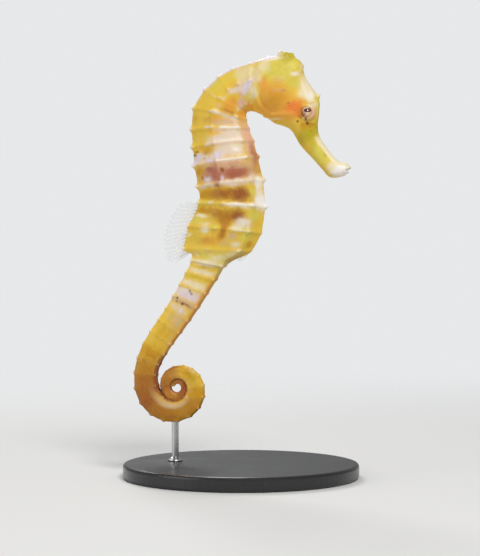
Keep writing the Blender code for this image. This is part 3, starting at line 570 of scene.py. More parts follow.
class Body:
    """Arrays over the skin's grid: rows along the body, columns from back to belly."""

    def __init__(self):
        self.q = row_positions()
        self.t = column_positions()
        stations = zip(*(body_station(q) for q in self.q))
        back, belly, self.width = (np.array(part) for part in stations)
        swell = INNER_SWELL * rise(self.q, COIL_Q, 1.5)
        inward = swell * [coil_radius(max(q, COIL_Q)) for q in self.q]
        inward -= INNER_WAIST * bump(self.q - WAIST_Q, 1.2)
        across = belly - back
        belly += across / np.linalg.norm(across, axis=1)[:, None] * inward[:, None]
        self.centre = 0.5 * (back + belly)
        up = 0.5 * (back - belly)
        self.depth = np.hypot(up[:, 0], up[:, 1])
        self.way = up / self.depth[:, None]
        self.set_profile()
        self.measure()

    def set_profile(self):
        """The plain section of each row, in shares of the half depth and half width."""
        head, trunk, tail = (half_curve(p, self.t) for p in
                             (HEAD_PROFILE, TRUNK_PROFILE, TAIL_PROFILE))
        to_trunk = rise(self.q, *TO_TRUNK)[:, None, None]
        to_tail = rise(self.q, *TO_TAIL)[:, None, None]
        self.profile = mix(mix(head, trunk, to_trunk), tail, to_tail)

    def measure(self):
        """Distances in millimetres over the plain skin."""
        self.d = self.profile[:, :, 0] * self.depth[:, None]
        self.y = self.profile[:, :, 1] * self.width[:, None]
        steps = np.hypot(np.diff(self.d, axis=1), np.diff(self.y, axis=1))
        self.arc = np.concatenate([np.zeros((len(self.q), 1)), np.cumsum(steps, axis=1)], axis=1)
        points = self.place(self.d, self.y)
        speed = np.gradient(points, self.q, axis=0)
        self.pitch = np.linalg.norm(speed, axis=2)
        self.offset = (self.q - np.round(self.q))[:, None] * self.pitch
        self.ringed = rise(self.q, HEAD_END, 0.6)[:, None]
        self.f = 0.5 - 0.5 * self.profile[:, :, 0]

    def place(self, d, y):
        """Points in space from depths along the section and distances to the side."""
        x = self.centre[:, None, 0] + self.way[:, None, 0] * d
        z = self.centre[:, None, 1] + self.way[:, None, 1] * d
        return np.stack([x, y, z], axis=2)

    def across(self, ridge):
        """Distance over the plain skin from a lengthwise ridge."""
        column = int(np.argmin(abs(self.t - ridge)))
        return self.arc - self.arc[:, column:column + 1]

    def normals(self):
        """Outward normals in each section's plane, as (along the depth, to the side)."""
        dd = np.gradient(self.d, axis=1)
        dy = np.gradient(self.y, axis=1)
        size = np.hypot(dd, dy) + 1e-9
        nd, ny = dy / size, -dd / size
        ny[:, 0] = ny[:, -1] = 0.0
        return nd, ny


def spine_height(q, ridge):
    """Height of the spines on a ridge, over an array of rows."""
    height = mix(TRUNK_SPINES[ridge], TAIL_SPINES[ridge], rise(q, *TO_TAIL))
    if ridge == SUPERIOR:
        height = height * mix(0.5, 1.0, rise(q, 1.0, 3.0))
    if ridge == INFERIOR:
        height = height * rise(q, THROAT_END, 2.0)
    if ridge == KEEL:
        height = height * rise(q, 2.0 * THROAT_END, 2.0) * rise(q, 9.8, -0.6)
    coiled = np.array([coil_radius(v) / COIL_R if v > COIL_Q else 1.0 for v in q])
    fade = np.where(q > COIL_Q, rise(q, TAIL_TIP_Q, -TIP_FADE), 1.0)
    return height * coiled * fade


def raise_rings(body):
    """Grooves between rings, their thin crests, the lengthwise ridges and the spines."""
    q = body.q
    swell = bump((q - np.round(q))[:, None], SWELL)
    crook = rise(q, THROAT_END + 2.0, -3.0)[:, None]
    groove_share = mix(1.0, 0.5 + 0.5 * body.profile[:, :, 0], crook)
    relief = np.interp(q, *zip(*RELIEF))[:, None] * body.ringed
    size = 1.0 - (1.0 - GROOVE) * (1.0 - swell) * groove_share * relief
    scale = np.clip(body.depth / TAIL_ROOT_DEPTH, 0.0, 1.0)[:, None]
    rough = 1.0 + 0.5 * noise_at(body.place(body.d, body.y), ROUGH_GRAIN)
    crest = CREST_H * scale * bump(body.offset, CREST_W * scale)
    out = crest * np.clip(body.pitch / 3.0, 0.0, 1.0) * relief * rough
    for ridge in (SUPERIOR, LATERAL, INFERIOR, KEEL):
        across = body.across(ridge)
        fade = rise(q, *SIDE_RIDGE_FADE)[:, None] if ridge in (LATERAL, KEEL) else 0.0
        out += RIDGE_H * scale * bump(across, RIDGE_W * scale) * relief * (1.0 - fade)
        radius = SPINE_R * np.clip(scale, 0.2, 1.0) * (1.0 if ridge == SUPERIOR else 0.8)
        reach = np.clip(1.0 - np.hypot(body.offset, across) / radius, 0.0, 1.0)
        out += spine_height(q, ridge)[:, None] * reach ** SPINE_POWER * body.ringed
    nd, ny = body.normals()
    body.d = body.d * size + nd * out
    body.y = body.y * size + ny * out


def smooth_max(a, b, k):
    """The larger of two arrays, rounded over k where they meet."""
    h = np.clip(0.5 + 0.5 * (a - b) / k, 0.0, 1.0)
    return mix(b, a, h) + k * h * (1.0 - h)


def shape_orbits(points, head):
    """Domes round the eyes, with a rim and a socket for each eyeball."""
    x, y, z = np.moveaxis(points, 2, 0)
    far = np.hypot(x - EYE_CENTRE[0], z - EYE_CENTRE[2])
    flat = np.maximum(far, DOME_FLAT_R)
    dome = ORBIT_Y + np.sqrt(np.clip(ORBIT_R ** 2 - flat ** 2, 0.0, None))
    lifted = np.where(far < ORBIT_R, smooth_max(y, dome, 0.45), y)
    wrinkles = WRINKLE_H * np.sin(far * 9.0) * bump(far - WRINKLE_R, WRINKLE_W)
    lifted = lifted + RIM_H * bump(far - RIM_R, RIM_W) + wrinkles
    lid = EYE_CENTRE[1] + 0.03 + math.sqrt(EYE_R ** 2 - LID_R ** 2)
    inner = mix(EYE_CENTRE[1] - 0.3, lid, rise(far, SOCKET_R, LID_R - SOCKET_R))
    outer = mix(lid, lifted, rise(far, LID_R, RIM_R - LID_R))
    shaped = np.where(far < LID_R, inner, outer)
    near = head & (far < ORBIT_R + 0.9) & (y > 0.9)
    points[..., 1] = np.where(near, shaped, y)


def shape_gill_cover(points, head):
    """The domed gill cover, the groove behind it and the bony edge of the shoulder girdle."""
    x, y, z = np.moveaxis(points, 2, 0)
    u = (x - GILL_CENTRE[0]) / GILL_RADII[0]
    v = (z - GILL_CENTRE[1]) / GILL_RADII[1]
    far = np.hypot(u, v)
    angle = np.arctan2(v, u)
    side = rise(y, 1.2, 1.5)
    cover = GILL_HEIGHT * np.clip(1.0 - far ** 2, 0.0, None)
    streaks = STREAK_H * np.sin(angle * GILL_STREAKS + far * 2.0) * bump(far - 0.62, 0.26)
    edges = sum(height * bump(far - place, width) for height, place, width in GILL_EDGES)
    points[..., 1] = y + (cover + streaks + edges * smooth(0.2 - u)) * side * head


def line_distance(x, z, start, end):
    """Distance in the XZ plane from a line between two points."""
    along = np.subtract(end, start)
    share = ((x - start[0]) * along[0] + (z - start[1]) * along[1]) / (along @ along)
    share = np.clip(share, 0.0, 1.0)
    return np.hypot(x - start[0] - along[0] * share, z - start[1] - along[1] * share)


def shape_skull(points, head):
    """The brow ridge, the ridge along the cheek, the nostrils and the snout's side edges."""
    x, y, z = np.moveaxis(points, 2, 0)
    side = smooth(y - 0.8) * head
    hollow = np.hypot((x - CHEEK_HOLLOW[0]) / HOLLOW_RADII[0],
                      (z - CHEEK_HOLLOW[1]) / HOLLOW_RADII[1])
    nostril = np.hypot(x - NOSTRIL[0], z - NOSTRIL[1])
    out = -0.3 * bump(hollow, 1.0) - 0.35 * bump(nostril, 0.24) + 0.12 * bump(nostril - 0.5, 0.2)
    for start, end, height, width in SKULL_RIDGES:
        out += height * bump(line_distance(x, z, start, end), width)
    points[..., 1] = y + out * side


def shape_coronet(points, head):
    """The low crown of five blunt points, with a shallow cup in its top."""
    axis = CORONET_AXIS / np.linalg.norm(CORONET_AXIS)
    along = np.cross([0.0, 1.0, 0.0], axis)
    local = points - CORONET_BASE
    u = (local @ along) / CORONET_RADII[0]
    v = local[..., 1] / CORONET_RADII[1]
    height = local @ axis
    far = np.hypot(u, v)
    angle = np.arctan2(v, u)
    star = 0.5 + 0.5 * np.cos(CORONET_POINTS * angle)
    wall = smooth((mix(0.74, 1.0, star) - far) / 0.24)
    crest = bump(far - CREST_R, 0.2)
    lean = CORONET_REAR * np.clip(-np.cos(angle), 0.0, 1.0) ** 1.5 * star ** 2
    lean -= CORONET_FALL * np.clip(np.cos(angle), 0.0, 1.0)
    ribs = 0.1 * np.cos(CORONET_RIBS * angle) * bump(far - RIB_R, 0.2)
    rise_up = CORONET_HEIGHT * wall * (0.72 + 0.22 * (0.35 + 0.65 * star ** 2) * crest)
    rise_up += wall * (lean * crest + ribs) - 0.45 * bump(far, 0.3)
    near = (head & (height > -1.6) & (far < 1.05)).astype(float)
    points += (near * np.clip(rise_up, 0.0, None))[..., None] * axis


def pull_spine(points, tip, radius, foot):
    """Draws the skin round a foot out into a small spine."""
    far = np.linalg.norm(points - foot, axis=-1)
    reach = np.clip(1.0 - far / radius, 0.0, 1.0) ** 1.2
    points += reach[..., None] * np.subtract(tip, foot)


def shape_mouth(body, points):
    """The cleft between the lips, and the flare of the snout's end."""
    near = rise(body.q, -11.25, -0.75)[:, None]
    middle = bump(body.profile[:, :, 0] + 0.05, 0.36)
    points[..., 0] -= 1.1 * near * middle
    lips = bump(body.q + 11.0, 0.45)[:, None]
    points[..., 1] *= 1.0 + 0.10 * lips


def round_tip(body):
    """Closes the tail's last ring into a blunt tip."""
    left = np.clip((TAIL_TIP_Q - body.q) / 0.7, 0.0, 1.0)
    size = np.maximum(np.sqrt(1.0 - (1.0 - left) ** 2), 0.05)[:, None]
    body.d *= size
    body.y *= size


def shape_body():
    """The half skin, from the middle of the back to the middle of the belly."""
    body = Body()
    raise_rings(body)
    round_tip(body)
    points = body.place(body.d, body.y)
    head = np.broadcast_to((body.q < 0.6)[:, None], points.shape[:2])
    shape_skull(points, head & (body.q < -1.5)[:, None])
    shape_gill_cover(points, head)
    shape_orbits(points, head & (body.q < -2.5)[:, None])
    shape_coronet(points, head & (body.t < 3.2)[None, :])
    for tip, radius, foot in HEAD_SPINES:
        pull_spine(points, tip, radius, foot)
    shape_mouth(body, points)
    points[:, 0, 1] = points[:, -1, 1] = 0.0
    return body, points


# ---- The markings.
def soft_disc(u, v):
    """1 inside the unit circle, easing to 0 round its edge."""
    return np.exp(-(u * u + v * v) ** 1.25)


def soft_block(u, v):
    """1 inside the unit square with round corners, easing to 0 round its edge."""
    return np.exp(-np.abs(u) ** 2.3 - np.abs(v) ** 2.3)


class Coat:
    """How much of each pigment lies on each point of one side of the skin."""

    def __init__(self, body, points, side):
        mirrored = points * [1.0, side, 1.0]
        broad = noise_at(mirrored, BROAD_GRAIN, 7.0)
        fine = noise_at(mirrored, FINE_GRAIN, 19.0)
        places = (body.q[:, None], body.f, points[..., 0], points[..., 2])
        self.q, self.f, self.x, self.z = (place + by_broad * broad + by_fine * fine
                                          for place, (by_broad, by_fine) in zip(places, STIRS))
        self.body = body
        self.amount = {name: np.zeros(body.f.shape) for name in PIGMENTS}

    def lay(self, name, strength):
        """Lays a pigment over those already there."""
        for other in self.amount:
            self.amount[other] *= 1.0 - strength
        self.amount[name] += strength

    def patches(self):
        """The patches on the head, then those on the body and the lines along its rings."""
        trunk = self.body.ringed
        head = 1.0 - rise(self.body.q, 0.2, 0.6)[:, None]
        for name, x, z, long, high, strength in HEAD_PATCHES:
            disc = soft_disc((self.x - x) / long, (self.z - z) / high)
            self.lay(name, strength / 100 * disc * head)
        for name, q, *shares in PATCHES:
            f, long, wide, strength = (share / 100 for share in shares)
            block = soft_block((self.q - q) / long, (self.f - f) / wide)
            self.lay(name, strength * block * trunk)
        for name, q0, f0, q1, f1, strength, width in LINES:
            share = (self.body.f - f0) / (f1 - f0)
            off = (self.body.q[:, None] - mix(q0, q1, share)) * self.body.pitch
            ends = rise(self.f, f0, 0.05) * rise(self.f, f1, -0.05)
            self.lay(name, strength * ends * bump(off, width) * trunk)

    def edges(self):
        """The pale painted rim light along the back, a painted highlight on the snout's top, the
        white spines, and the tail's orange belly side, which turns brown as painted shade on the
        coil's inner side.
        """
        body = self.body
        under = rise(self.f, *UNDERSIDE) * rise(body.q, *UNDERSIDE_START)[:, None]
        shaded = rise(body.q, *UNDERSIDE_SHADE)[:, None]
        self.lay("orange", 0.7 * under * (1.0 - shaded))
        # Brown on the coil's inner side: painted shade.
        self.lay("brown", 0.8 * under * shaded)
        # Painted rim light along the nape and the top of the neck.
        nape = bump(self.f, NAPE_RIM_LIGHT) * rise(self.q, *NAPE_START) * rise(self.q, *NAPE_END)
        self.lay("violet", 0.75 * nape)
        # Cream along the snout's top: a painted highlight.
        self.lay("cream", 0.85 * rise(self.q, *SNOUT_START) * rise(self.f, *SNOUT_HIGHLIGHT))
        near = np.zeros_like(self.f)
        scale = np.clip(body.depth / TAIL_ROOT_DEPTH, 0.15, 1.0)[:, None]
        for ridge, strength in SPINE_WHITES.items():
            far = np.hypot(body.offset, body.across(ridge))
            near = np.maximum(near, strength * bump(far, SPINE_WHITE_R * scale))
        coiled = mix(1.0, COIL_WHITE, rise(body.q, *COIL_WHITE_START))[:, None]
        self.lay("white", 0.9 * near * coiled * body.ringed)

    def layers(self):
        """The share of each pigment, laid in turn over the ones before it."""
        left = np.ones_like(self.f)
        shares = {}
        for name in list(PIGMENTS)[:0:-1]:
            shares[name] = np.clip(self.amount[name] / np.maximum(left, 1e-3), 0.0, 1.0)
            left = left - self.amount[name]
        return shares


def mouth_shade(body):
    """1 in the cleft of the mouth, where umber is laid as painted shade."""
    cleft = bump(body.profile[:, :, 0] + 0.05, 0.14) * (body.profile[:, :, 1] < 0.995)
    return cleft * rise(body.q, -11.75, -0.2)[:, None]


def paint(body, points, side):
    """The amounts of the pigments over one side of the skin."""
    coat = Coat(body, points, side)
    coat.patches()
    coat.edges()
    # Painted shade in the mouth's cleft.
    coat.lay("umber", 0.9 * mouth_shade(body))
    return coat.layers()


# ---- Making the skin.
def face_outwards(mesh):
    """Turns every face of a closed mesh to look out of it."""
    work = bmesh.new()
    work.from_mesh(mesh)
    bmesh.ops.recalc_face_normals(work, faces=work.faces)
    work.to_mesh(mesh)
    work.free()


def add_object(name, data):
    """An object of the scene with this data."""
    thing = bpy.data.objects.new(name, data)
    bpy.context.scene.collection.objects.link(thing)
    return thing


def add_mesh(name, points, faces, material, slot, replaces=()):
    """A mesh piece in metres from points in millimetres, riding on the model's one body."""
    mesh = bpy.data.meshes.new(name)
    mesh.from_pydata([tuple(p) for p in points * MM], [], faces)
    face_outwards(mesh)
    mesh.shade_smooth()
    mesh.materials.append(material)
    piece = add_object(name, mesh)
    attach(piece, "root")
    if replaces:
        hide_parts(*replaces)
    return piece


def add_attribute(piece, name, values):
    """A number for each of a piece's points, which its material reads by name."""
    layer = piece.data.attributes.new(name, "FLOAT", "POINT")
    layer.data.foreach_set("value", np.asarray(values, dtype=np.float32).ravel())


def wrap(right, left):
    """Joins the right half and the left half of a grid into full turns of columns."""
    return np.concatenate([right, left[:, -2:0:-1]], axis=1)


def tube(grid, caps=()):
    """Points and faces of a grid whose columns close in a ring.

    Two cap points close its ends. Without them its last row joins its first.
    """
    rows, columns = grid.shape[:2]
    index = np.arange(rows * columns).reshape(rows, columns)
    low, high = (index[:-1], index[1:]) if caps else (index, np.roll(index, -1, axis=0))
    quads = [low, np.roll(low, -1, axis=1), np.roll(high, -1, axis=1), high]
    faces = np.stack(quads, axis=-1).reshape(-1, 4).tolist()
    points = grid.reshape(-1, 3)
    for ring, cap in zip((index[0], index[-1, ::-1]), caps):
        faces += [[len(points), b, a] for a, b in zip(ring.tolist(), np.roll(ring, -1).tolist())]
        points = np.concatenate([points, [cap]])
    return points, faces


def lathe(outline, segments):
    """A grid of points from an outline of (radius, height) turned round the Z axis."""
    turn = np.linspace(0.0, 2.0 * np.pi, segments, endpoint=False)
    x, y = np.cos(turn), np.sin(turn)
    return np.array([np.stack([r * x, r * y, np.full(segments, h)], axis=-1) for r, h in outline])


def make_skin():
    """One closed skin from the lips to the tip of the tail."""
    body, half = shape_body()
    grid = wrap(half * [1.0, -1.0, 1.0], half)
    caps = (grid[0].mean(axis=0) - [LIP_DEPTH, 0.0, 0.0], grid[-1].mean(axis=0))
    skin = add_mesh("skin", *tube(grid, caps), skin_material(), "trunk_skin", FLESH)
    marks_right, marks_left = paint(body, half, -1.0), paint(body, half, 1.0)
    for name in marks_right:
        values = wrap(marks_right[name], marks_left[name]).ravel()
        add_attribute(skin, name, np.concatenate([values, [values[0], values[-1]]]))


# ---- Materials.
class Graph:
    """A material's node tree. Each call adds a node and returns its first output."""

    def __init__(self, name):
        self.material = bpy.data.materials.new(name)
        self.material.use_nodes = True
        self.nodes = self.material.node_tree.nodes
        self.links = self.material.node_tree.links
        self.shader = self.nodes["Principled BSDF"]
        self.place = self.nodes.new("ShaderNodeTexCoord").outputs["Object"]

    def put(self, socket, value):
        """Sets a socket to a number, a colour or a pigment, or links an output to it."""
        if isinstance(value, str):
            value = tuple((level / 255.0) ** 2.2 for level in PIGMENTS[value])
        if isinstance(value, bpy.types.NodeSocket):
            self.links.new(value, socket)
        else:
            socket.default_value = (*value, 1.0) if socket.type == "RGBA" else value

    def fill(self, node, sockets):
        """Sets a node's sockets by name."""
        for name, value in sockets.items():
            self.put(node.inputs[name.replace("_", " ")], value)

    def add(self, kind, settings=None, **sockets):
        """A node with its settings, and its sockets by name."""
        node = self.nodes.new("ShaderNode" + kind)
        for name, value in (settings or {}).items():
            setattr(node, name, value)
        self.fill(node, sockets)
        return node

    def pair(self, node, a, b, first=0):
        """Sets two neighbouring sockets of a node and returns its first live output."""
        self.put(node.inputs[first], a)
        self.put(node.inputs[first + 1], b)
        return next(output for output in node.outputs if output.enabled)

    def math(self, operation, a, b=0.0):
        """One sum on numbers."""
        return self.pair(self.add("Math", {"operation": operation}), a, b)

    def noise(self, grain, detail=3.0, roughness=0.55, place=None):
        """Noise from 0 to 1 with grains of this many millimetres."""
        node = self.add("TexNoise", Scale=1.0 / (grain * MM), Detail=detail, Roughness=roughness,
                        Vector=place or self.place)
        return node.outputs[0]

    def cells(self, grain):
        """Distance from the centres of scattered cells of this many millimetres."""
        node = self.add("TexVoronoi", Scale=1.0 / (grain * MM), Vector=self.place)
        return node.outputs["Distance"]

    def ease(self, value, low, high, start=0.0, end=1.0):
        """Maps low..high to start..end with soft ends."""
        node = self.add("MapRange", {"interpolation_type": "SMOOTHSTEP"}, Value=value,
                        From_Min=low, From_Max=high, To_Min=start, To_Max=end)
        return node.outputs[0]

    def mix(self, a, b, share):
        """Mixes two colours."""
        return self.pair(self.add("Mix", {"data_type": "RGBA"}, Factor=share), a, b, 6)

    def oval(self, x, z, centre, radii):
        """1 on the rim of an oval in the XZ plane, less inside it. Sizes are millimetres."""
        u = self.math("DIVIDE", self.math("SUBTRACT", x, centre[0] * MM), radii[0] * MM)
        v = self.math("DIVIDE", self.math("SUBTRACT", z, centre[1] * MM), radii[1] * MM)
        square = self.math("ADD", self.math("MULTIPLY", u, u), self.math("MULTIPLY", v, v))
        return self.math("SQRT", square)

    def attribute(self, name):
        """A number stored on the mesh."""
        return self.add("Attribute", {"attribute_name": name}).outputs["Fac"]

    def bump(self, height, depth, before=None):
        """A bump whose full height is this many millimetres."""
        below = {"Normal": before} if before else {}
        node = self.add("Bump", Height=height, Strength=1.0, Distance=depth * MM, **below)
        return node.outputs[0]

    def finish(self, **sockets):
        """Sets the Principled shader's sockets."""
        self.fill(self.shader, sockets)
        return self.material


def skin_material():
    """Golden skin under the markings, with fine mottling, specks and a fine grain."""
    g = Graph("seahorse_skin")
    broad = g.noise(4.0, 4.0)
    medium = g.noise(1.1, 4.0)
    fine = g.noise(0.40, 3.0, 0.6)
    color = g.mix("gold", "amber", g.ease(broad, 0.45, 0.80, 0.0, 0.25))
    color = g.mix(color, "lemon", g.ease(medium, 0.50, 0.80, 0.0, 0.6))
    ragged = g.math("MULTIPLY", g.math("SUBTRACT", medium, 0.5), 2.2)
    for name in list(PIGMENTS)[1:]:
        amount = g.attribute(name)
        rest = g.math("SUBTRACT", 1.0, amount)
        edge = g.math("MULTIPLY", g.math("MULTIPLY", amount, rest), ragged)
        share = g.ease(g.math("ADD", amount, edge), 0.04, 0.96)
        color = g.mix(color, name, share)
    color = g.mix(color, "cream", g.ease(fine, 0.58, 0.80, 0.0, 0.22))
    color = g.mix(color, "brown", g.ease(fine, 0.40, 0.22, 0.0, 0.16))
    specks = g.math("MULTIPLY", g.ease(g.cells(2.3), 0.09, 0.045), g.ease(broad, 0.50, 0.62))
    color = g.mix(color, "umber", g.math("MULTIPLY", specks, 0.7))
    grain = g.bump(g.noise(0.30, 2.0), 0.03)
    warts = g.bump(g.ease(g.cells(0.62), 0.40, 0.0), 0.03, grain)
    roughness = g.ease(medium, 0.3, 0.8, 0.42, 0.56)
    return g.finish(Base_Color=color, Roughness=roughness, Normal=warts, Subsurface_Weight=0.15,
                    Subsurface_Radius=(1.0, 0.45, 0.2), Subsurface_Scale=0.0006,
                    Specular_IOR_Level=0.3, Coat_Weight=0.05, Coat_Roughness=0.25)


def eye_material():
    """A dark red pupil, longer than high, in a mottled pink iris, with painted shade on its lower
    rear side and a pale upper rim that is a painted highlight.
    """
    g = Graph("eye_glass")
    split = g.add("SeparateXYZ", Vector=g.place)
    x, z = split.outputs["X"], split.outputs["Z"]
    rays = g.noise(0.45, 4.0, 0.65)
    ragged = g.ease(rays, 0.3, 0.7, -0.10, 0.10)
    pupil = g.math("ADD", g.oval(x, z, PUPIL, PUPIL_RADII), ragged)
    iris = g.mix("rose", "tan", g.ease(rays, 0.40, 0.62))
    iris = g.mix(iris, "mauve", g.ease(rays, 0.62, 0.75, 0.0, 0.6))
    # Painted shade on the iris's lower rear side.
    shade = g.oval(x, z, (-0.95, -0.50), (0.90, 1.05))
    iris = g.mix(iris, "brown", g.ease(shade, 1.15, 0.5, 0.0, 0.85))
    spot = g.oval(x, z, (0.40, -0.22), (0.48, 0.22))
    iris = g.mix(iris, "cream", g.ease(spot, 1.25, 0.7, 0.0, 0.9))
    # A painted highlight along the eye's upper rim.
    iris = g.mix(iris, "white", g.ease(z, 0.90 * MM, 1.15 * MM, 0.0, 0.85))
    color = g.mix((0.10, 0.014, 0.011), iris, g.ease(pupil, 0.92, 1.08))
    return g.finish(Base_Color=color, Roughness=g.ease(rays, 0.3, 0.7, 0.22, 0.34),
                    Coat_Weight=1.0, Coat_Roughness=0.03)


def fin_material(name, density):
    """Whitish rays that fade outwards in a clear membrane, each ending in a small pale dot."""
    g = Graph(name)
    ray, out = g.attribute("ray"), g.attribute("out")
    cloud = g.noise(1.2, 3.0)
    color = g.mix((0.46, 0.52, 0.58), (0.62, 0.64, 0.64), cloud)
    color = g.mix(color, "white", g.ease(ray, 0.25, 0.75))
    foot = g.ease(out, 0.30, 0.0)
    color = g.mix(color, "lemon", g.math("MULTIPLY", foot, 0.6))
    rays = g.math("MULTIPLY", g.ease(ray, 0.30, 0.85), g.ease(out, 0.85, 0.30, 0.14, 0.95))
    dots = g.math("MULTIPLY", g.ease(ray, 0.35, 0.9), g.ease(out, 0.90, 0.96, 0.0, 0.6))
    membrane = g.math("ADD", g.ease(cloud, 0.3, 0.8, 0.08, 0.15), g.math("MULTIPLY", foot, 0.35))
    alpha = g.math("MAXIMUM", g.math("MAXIMUM", rays, dots), membrane)
    return g.finish(Base_Color=color, Alpha=g.math("MULTIPLY", alpha, density),
                    Roughness=g.ease(cloud, 0.3, 0.7, 0.22, 0.34),
                    Normal=g.bump(g.noise(0.5, 2.0), 0.02))


def base_material():
    """Black acrylic with a satin face and faint dust."""
    g = Graph("stand_acrylic")
    cloud = g.noise(9.0, 4.0)
    dust = g.ease(g.noise(0.5, 2.0), 0.62, 0.80)
    color = g.mix((0.012, 0.012, 0.013), (0.022, 0.022, 0.024), cloud)
    color = g.mix(color, (0.10, 0.10, 0.10), g.math("MULTIPLY", dust, 0.25))
    roughness = g.ease(cloud, 0.3, 0.7, 0.24, 0.34)
    return g.finish(Base_Color=color, Roughness=roughness,
                    Normal=g.bump(g.noise(0.8, 2.0), 0.01))


def rod_material():
    """Steel brushed along the rod."""
    g = Graph("stand_steel")
    stretch = g.add("Mapping", Vector=g.place, Scale=(1.0, 1.0, 0.06))
    lines = g.noise(0.12, 3.0, 0.6, stretch.outputs[0])
    color = g.mix((0.48, 0.48, 0.49), (0.66, 0.66, 0.66), lines)
    return g.finish(Base_Color=color, Roughness=g.ease(lines, 0.3, 0.7, 0.22, 0.38),
                    Normal=g.bump(lines, 0.006), Metallic=1.0)


# ---- Eyes and fins.
def make_eye(side, word, material):
    """A glass eyeball with a slight bulge at its front."""
    angle = np.linspace(0.0, np.pi, EYE_RINGS + 1)[1:-1]
    radius = EYE_R * (1.0 + EYE_BULGE * bump(angle, 0.6))
    outline = zip(radius * np.sin(angle), radius * np.cos(angle))
    grid = lathe(outline, EYE_SEGMENTS)[..., [0, 2, 1]] * [1.0, side, 1.0]
    poles = ((0.0, side * EYE_R * (1.0 + EYE_BULGE), 0.0), (0.0, -side * EYE_R, 0.0))
    eye = add_mesh(f"eyeball_{word}", *tube(grid, poles), material, "eye", (f"eye_{word}",))
    eye.location = Vector((EYE_CENTRE[0], side * EYE_CENTRE[1], EYE_CENTRE[2])) * MM


def fin_grid(base, reach, angles, rays):
    """Plane points, ray strength and outward share over a fan, and the half thickness."""
    first, last = np.array(base)
    r = np.linspace(0.0, 1.0, (rays - 1) * RAY_POINTS + 1)[:, None]
    u = np.linspace(0.0, 1.0, RAY_ROWS)[None, :]
    ray = (0.5 + 0.5 * np.cos(2.0 * np.pi * r * (rays - 1))) ** 2
    angle = np.radians(three_way(angles, r))
    length = three_way(reach, r) * (1.0 - 0.07 * (1.0 - ray)) * corner_round(r)
    way = np.stack([np.cos(angle), np.sin(angle)], axis=2) * length[..., None]
    plane = (first + (last - first) * r)[:, None, :] + way * u[..., None]
    ray, out = np.broadcast_arrays(ray, u)
    return plane, ray, out, mix(EDGE_T, RAY_T, ray) * (1.0 - 0.6 * out)


def corner_round(r):
    """Shortens a fan's first and last rays a little, so its corners are round."""
    return 1.0 - 0.22 * (bump(r, 0.05) + bump(1.0 - r, 0.06))


def make_fin(name, fan, place, material):
    """A thin closed fan. place puts plane points, offset sideways, in space."""
    plane, ray, out, thick = fin_grid(*fan)
    index = np.arange(ray.size).reshape(ray.shape)
    quads = np.stack([index[:-1, :-1], index[1:, :-1], index[1:, 1:], index[:-1, 1:]], axis=-1)
    near = quads.reshape(-1, 4)
    faces = near.tolist() + (near[:, ::-1] + ray.size).tolist()
    rim = [*index[0], *index[1:, -1], *index[-1, -2::-1], *index[-2:0:-1, 0]]
    for a, b in zip(rim, rim[1:] + rim[:1]):
        faces.append([int(v) for v in (a, b, b + ray.size, a + ray.size)])
    sides = (place(plane, thick), place(plane, -thick))
    points = np.concatenate([side.reshape(-1, 3) for side in sides])
    piece = add_mesh(name + "_clear", points, faces, material, "fin", (name,))
    add_attribute(piece, "ray", np.tile(ray.ravel(), 2))
    add_attribute(piece, "out", np.tile(out.ravel(), 2))


def upright(plane, offset):
    """The plane of symmetry."""
    return np.stack([plane[..., 0], offset, plane[..., 1]], axis=-1)


def make_fins():
    """The dorsal and anal fins on the midline and the two pectoral fins."""
    material = fin_material("fin_membrane", 1.0)
    make_fin("dorsal_fin", DORSAL_FAN, upright, material)
    make_fin("anal_fin", ANAL_FAN, upright, material)
    thin = fin_material("fin_thin_membrane", 0.16)
    lean = math.radians(PECTORAL_LEAN)
    root = PECTORAL_FAN[0][0][0]
    for name, side in (("pectoral_fin_right", -1), ("pectoral_fin_left", 1)):
        def place(plane, offset, side=side):
            """Leans the fan out from the flank."""
            back = root - plane[..., 0]
            x = root - back * math.cos(lean) + offset * math.sin(lean)
            y = PECTORAL_Y + back * math.sin(lean) + offset * math.cos(lean)
            return np.stack([x, side * y, plane[..., 1]], axis=-1)
        make_fin(name, PECTORAL_FAN, place, thin)


# ---- Stand and stage.
def dress_stand():
    """Materials for the stand's solids, and a small collar round the rod's foot."""
    steel = rod_material()
    for node, material in (("stand_base", base_material()), ("stand_rod", steel)):
        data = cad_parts[node].data
        data.materials.clear()
        data.materials.append(material)
    low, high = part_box("stand_rod")
    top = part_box("stand_base")[1][2]
    foot = [(low[0] + high[0]) / 2 / MM, 0.0, top / MM + COLLAR_GAP]
    add_mesh("stand_collar", *tube(lathe(COLLAR, 48) + foot), steel, "stand_rod")


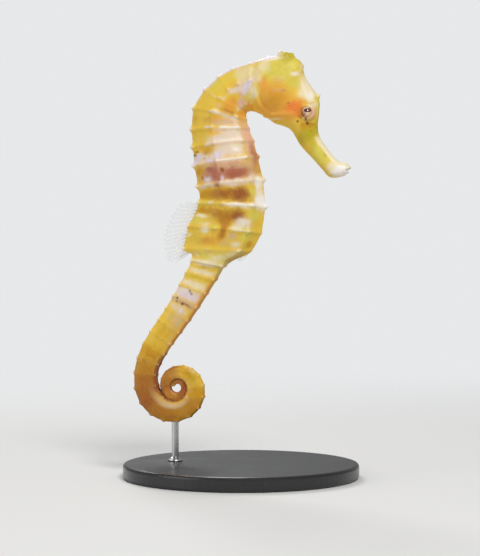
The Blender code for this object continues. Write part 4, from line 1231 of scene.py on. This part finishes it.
def make_stage():
    """A pale floor that fades into the pale surroundings."""
    bpy.ops.mesh.primitive_circle_add(vertices=96, radius=2.0, fill_type="NGON",
                                      location=(0.0, 0.0, -0.00002))
    floor = bpy.context.object
    floor.name = "floor"
    g = Graph("floor")
    far = g.add("VectorMath", {"operation": "LENGTH"}, Vector=g.place).outputs["Value"]
    g.finish(Base_Color=(0.74, 0.74, 0.735), Roughness=0.9)
    clear = g.nodes.new("ShaderNodeBsdfTransparent")
    fade = g.nodes.new("ShaderNodeMixShader")
    g.links.new(g.ease(far, 0.12, 0.50), fade.inputs[0])
    g.links.new(g.shader.outputs[0], fade.inputs[1])
    g.links.new(clear.outputs[0], fade.inputs[2])
    g.links.new(fade.outputs[0], g.nodes["Material Output"].inputs["Surface"])
    floor.data.materials.append(g.material)


def add_light(name, place, size, power, tint):
    """A round soft light that looks at the middle of the animal."""
    data = bpy.data.lights.new(name, "AREA")
    data.shape = "DISK"
    data.size = size
    data.energy = power
    data.color = tint
    light = add_object(name, data)
    light.location = place
    aim = Vector(LIGHTS_AIM) - Vector(place)
    light.rotation_euler = aim.to_track_quat("-Z", "Y").to_euler()


def light_scene():
    """A high key light from the front right, a soft fill, a rim light and pale surroundings."""
    for light in LIGHTS:
        add_light(*light)
    world = bpy.data.worlds.new("studio")
    world.use_nodes = True
    nodes, links = world.node_tree.nodes, world.node_tree.links
    background = nodes["Background"]
    background.inputs["Color"].default_value = (*WALL, 1.0)
    sight = nodes.new("ShaderNodeLightPath")
    level = nodes.new("ShaderNodeMapRange")
    level.inputs["To Min"].default_value = AMBIENT
    links.new(sight.outputs["Is Camera Ray"], level.inputs["Value"])
    links.new(level.outputs[0], background.inputs["Strength"])
    bpy.context.scene.world = world
    bpy.context.scene.view_settings.view_transform = "Standard"


def make_camera():
    """The photograph's view of the animal's right side, a little from its front."""
    data = bpy.data.cameras.new("camera")
    data.lens = LENS
    data.sensor_width = SENSOR
    data.clip_start = 0.01
    camera = add_object("camera", data)
    azimuth = math.radians(CAMERA_AZIMUTH)
    distance = PICTURE_HEIGHT * LENS / SENSOR
    across, height = PICTURE_CENTRE
    x = across * math.cos(azimuth) + distance * math.sin(azimuth)
    y = across * math.sin(azimuth) - distance * math.cos(azimuth)
    camera.location = Vector((x, y, height)) * MM
    camera.rotation_euler = (math.pi / 2.0, 0.0, azimuth)
    bpy.context.scene.camera = camera


# ---- Everything.
make_camera()
make_skin()
eye_glass = eye_material()
make_eye(-1, "right", eye_glass)
make_eye(1, "left", eye_glass)
make_fins()
dress_stand()
make_stage()
light_scene()
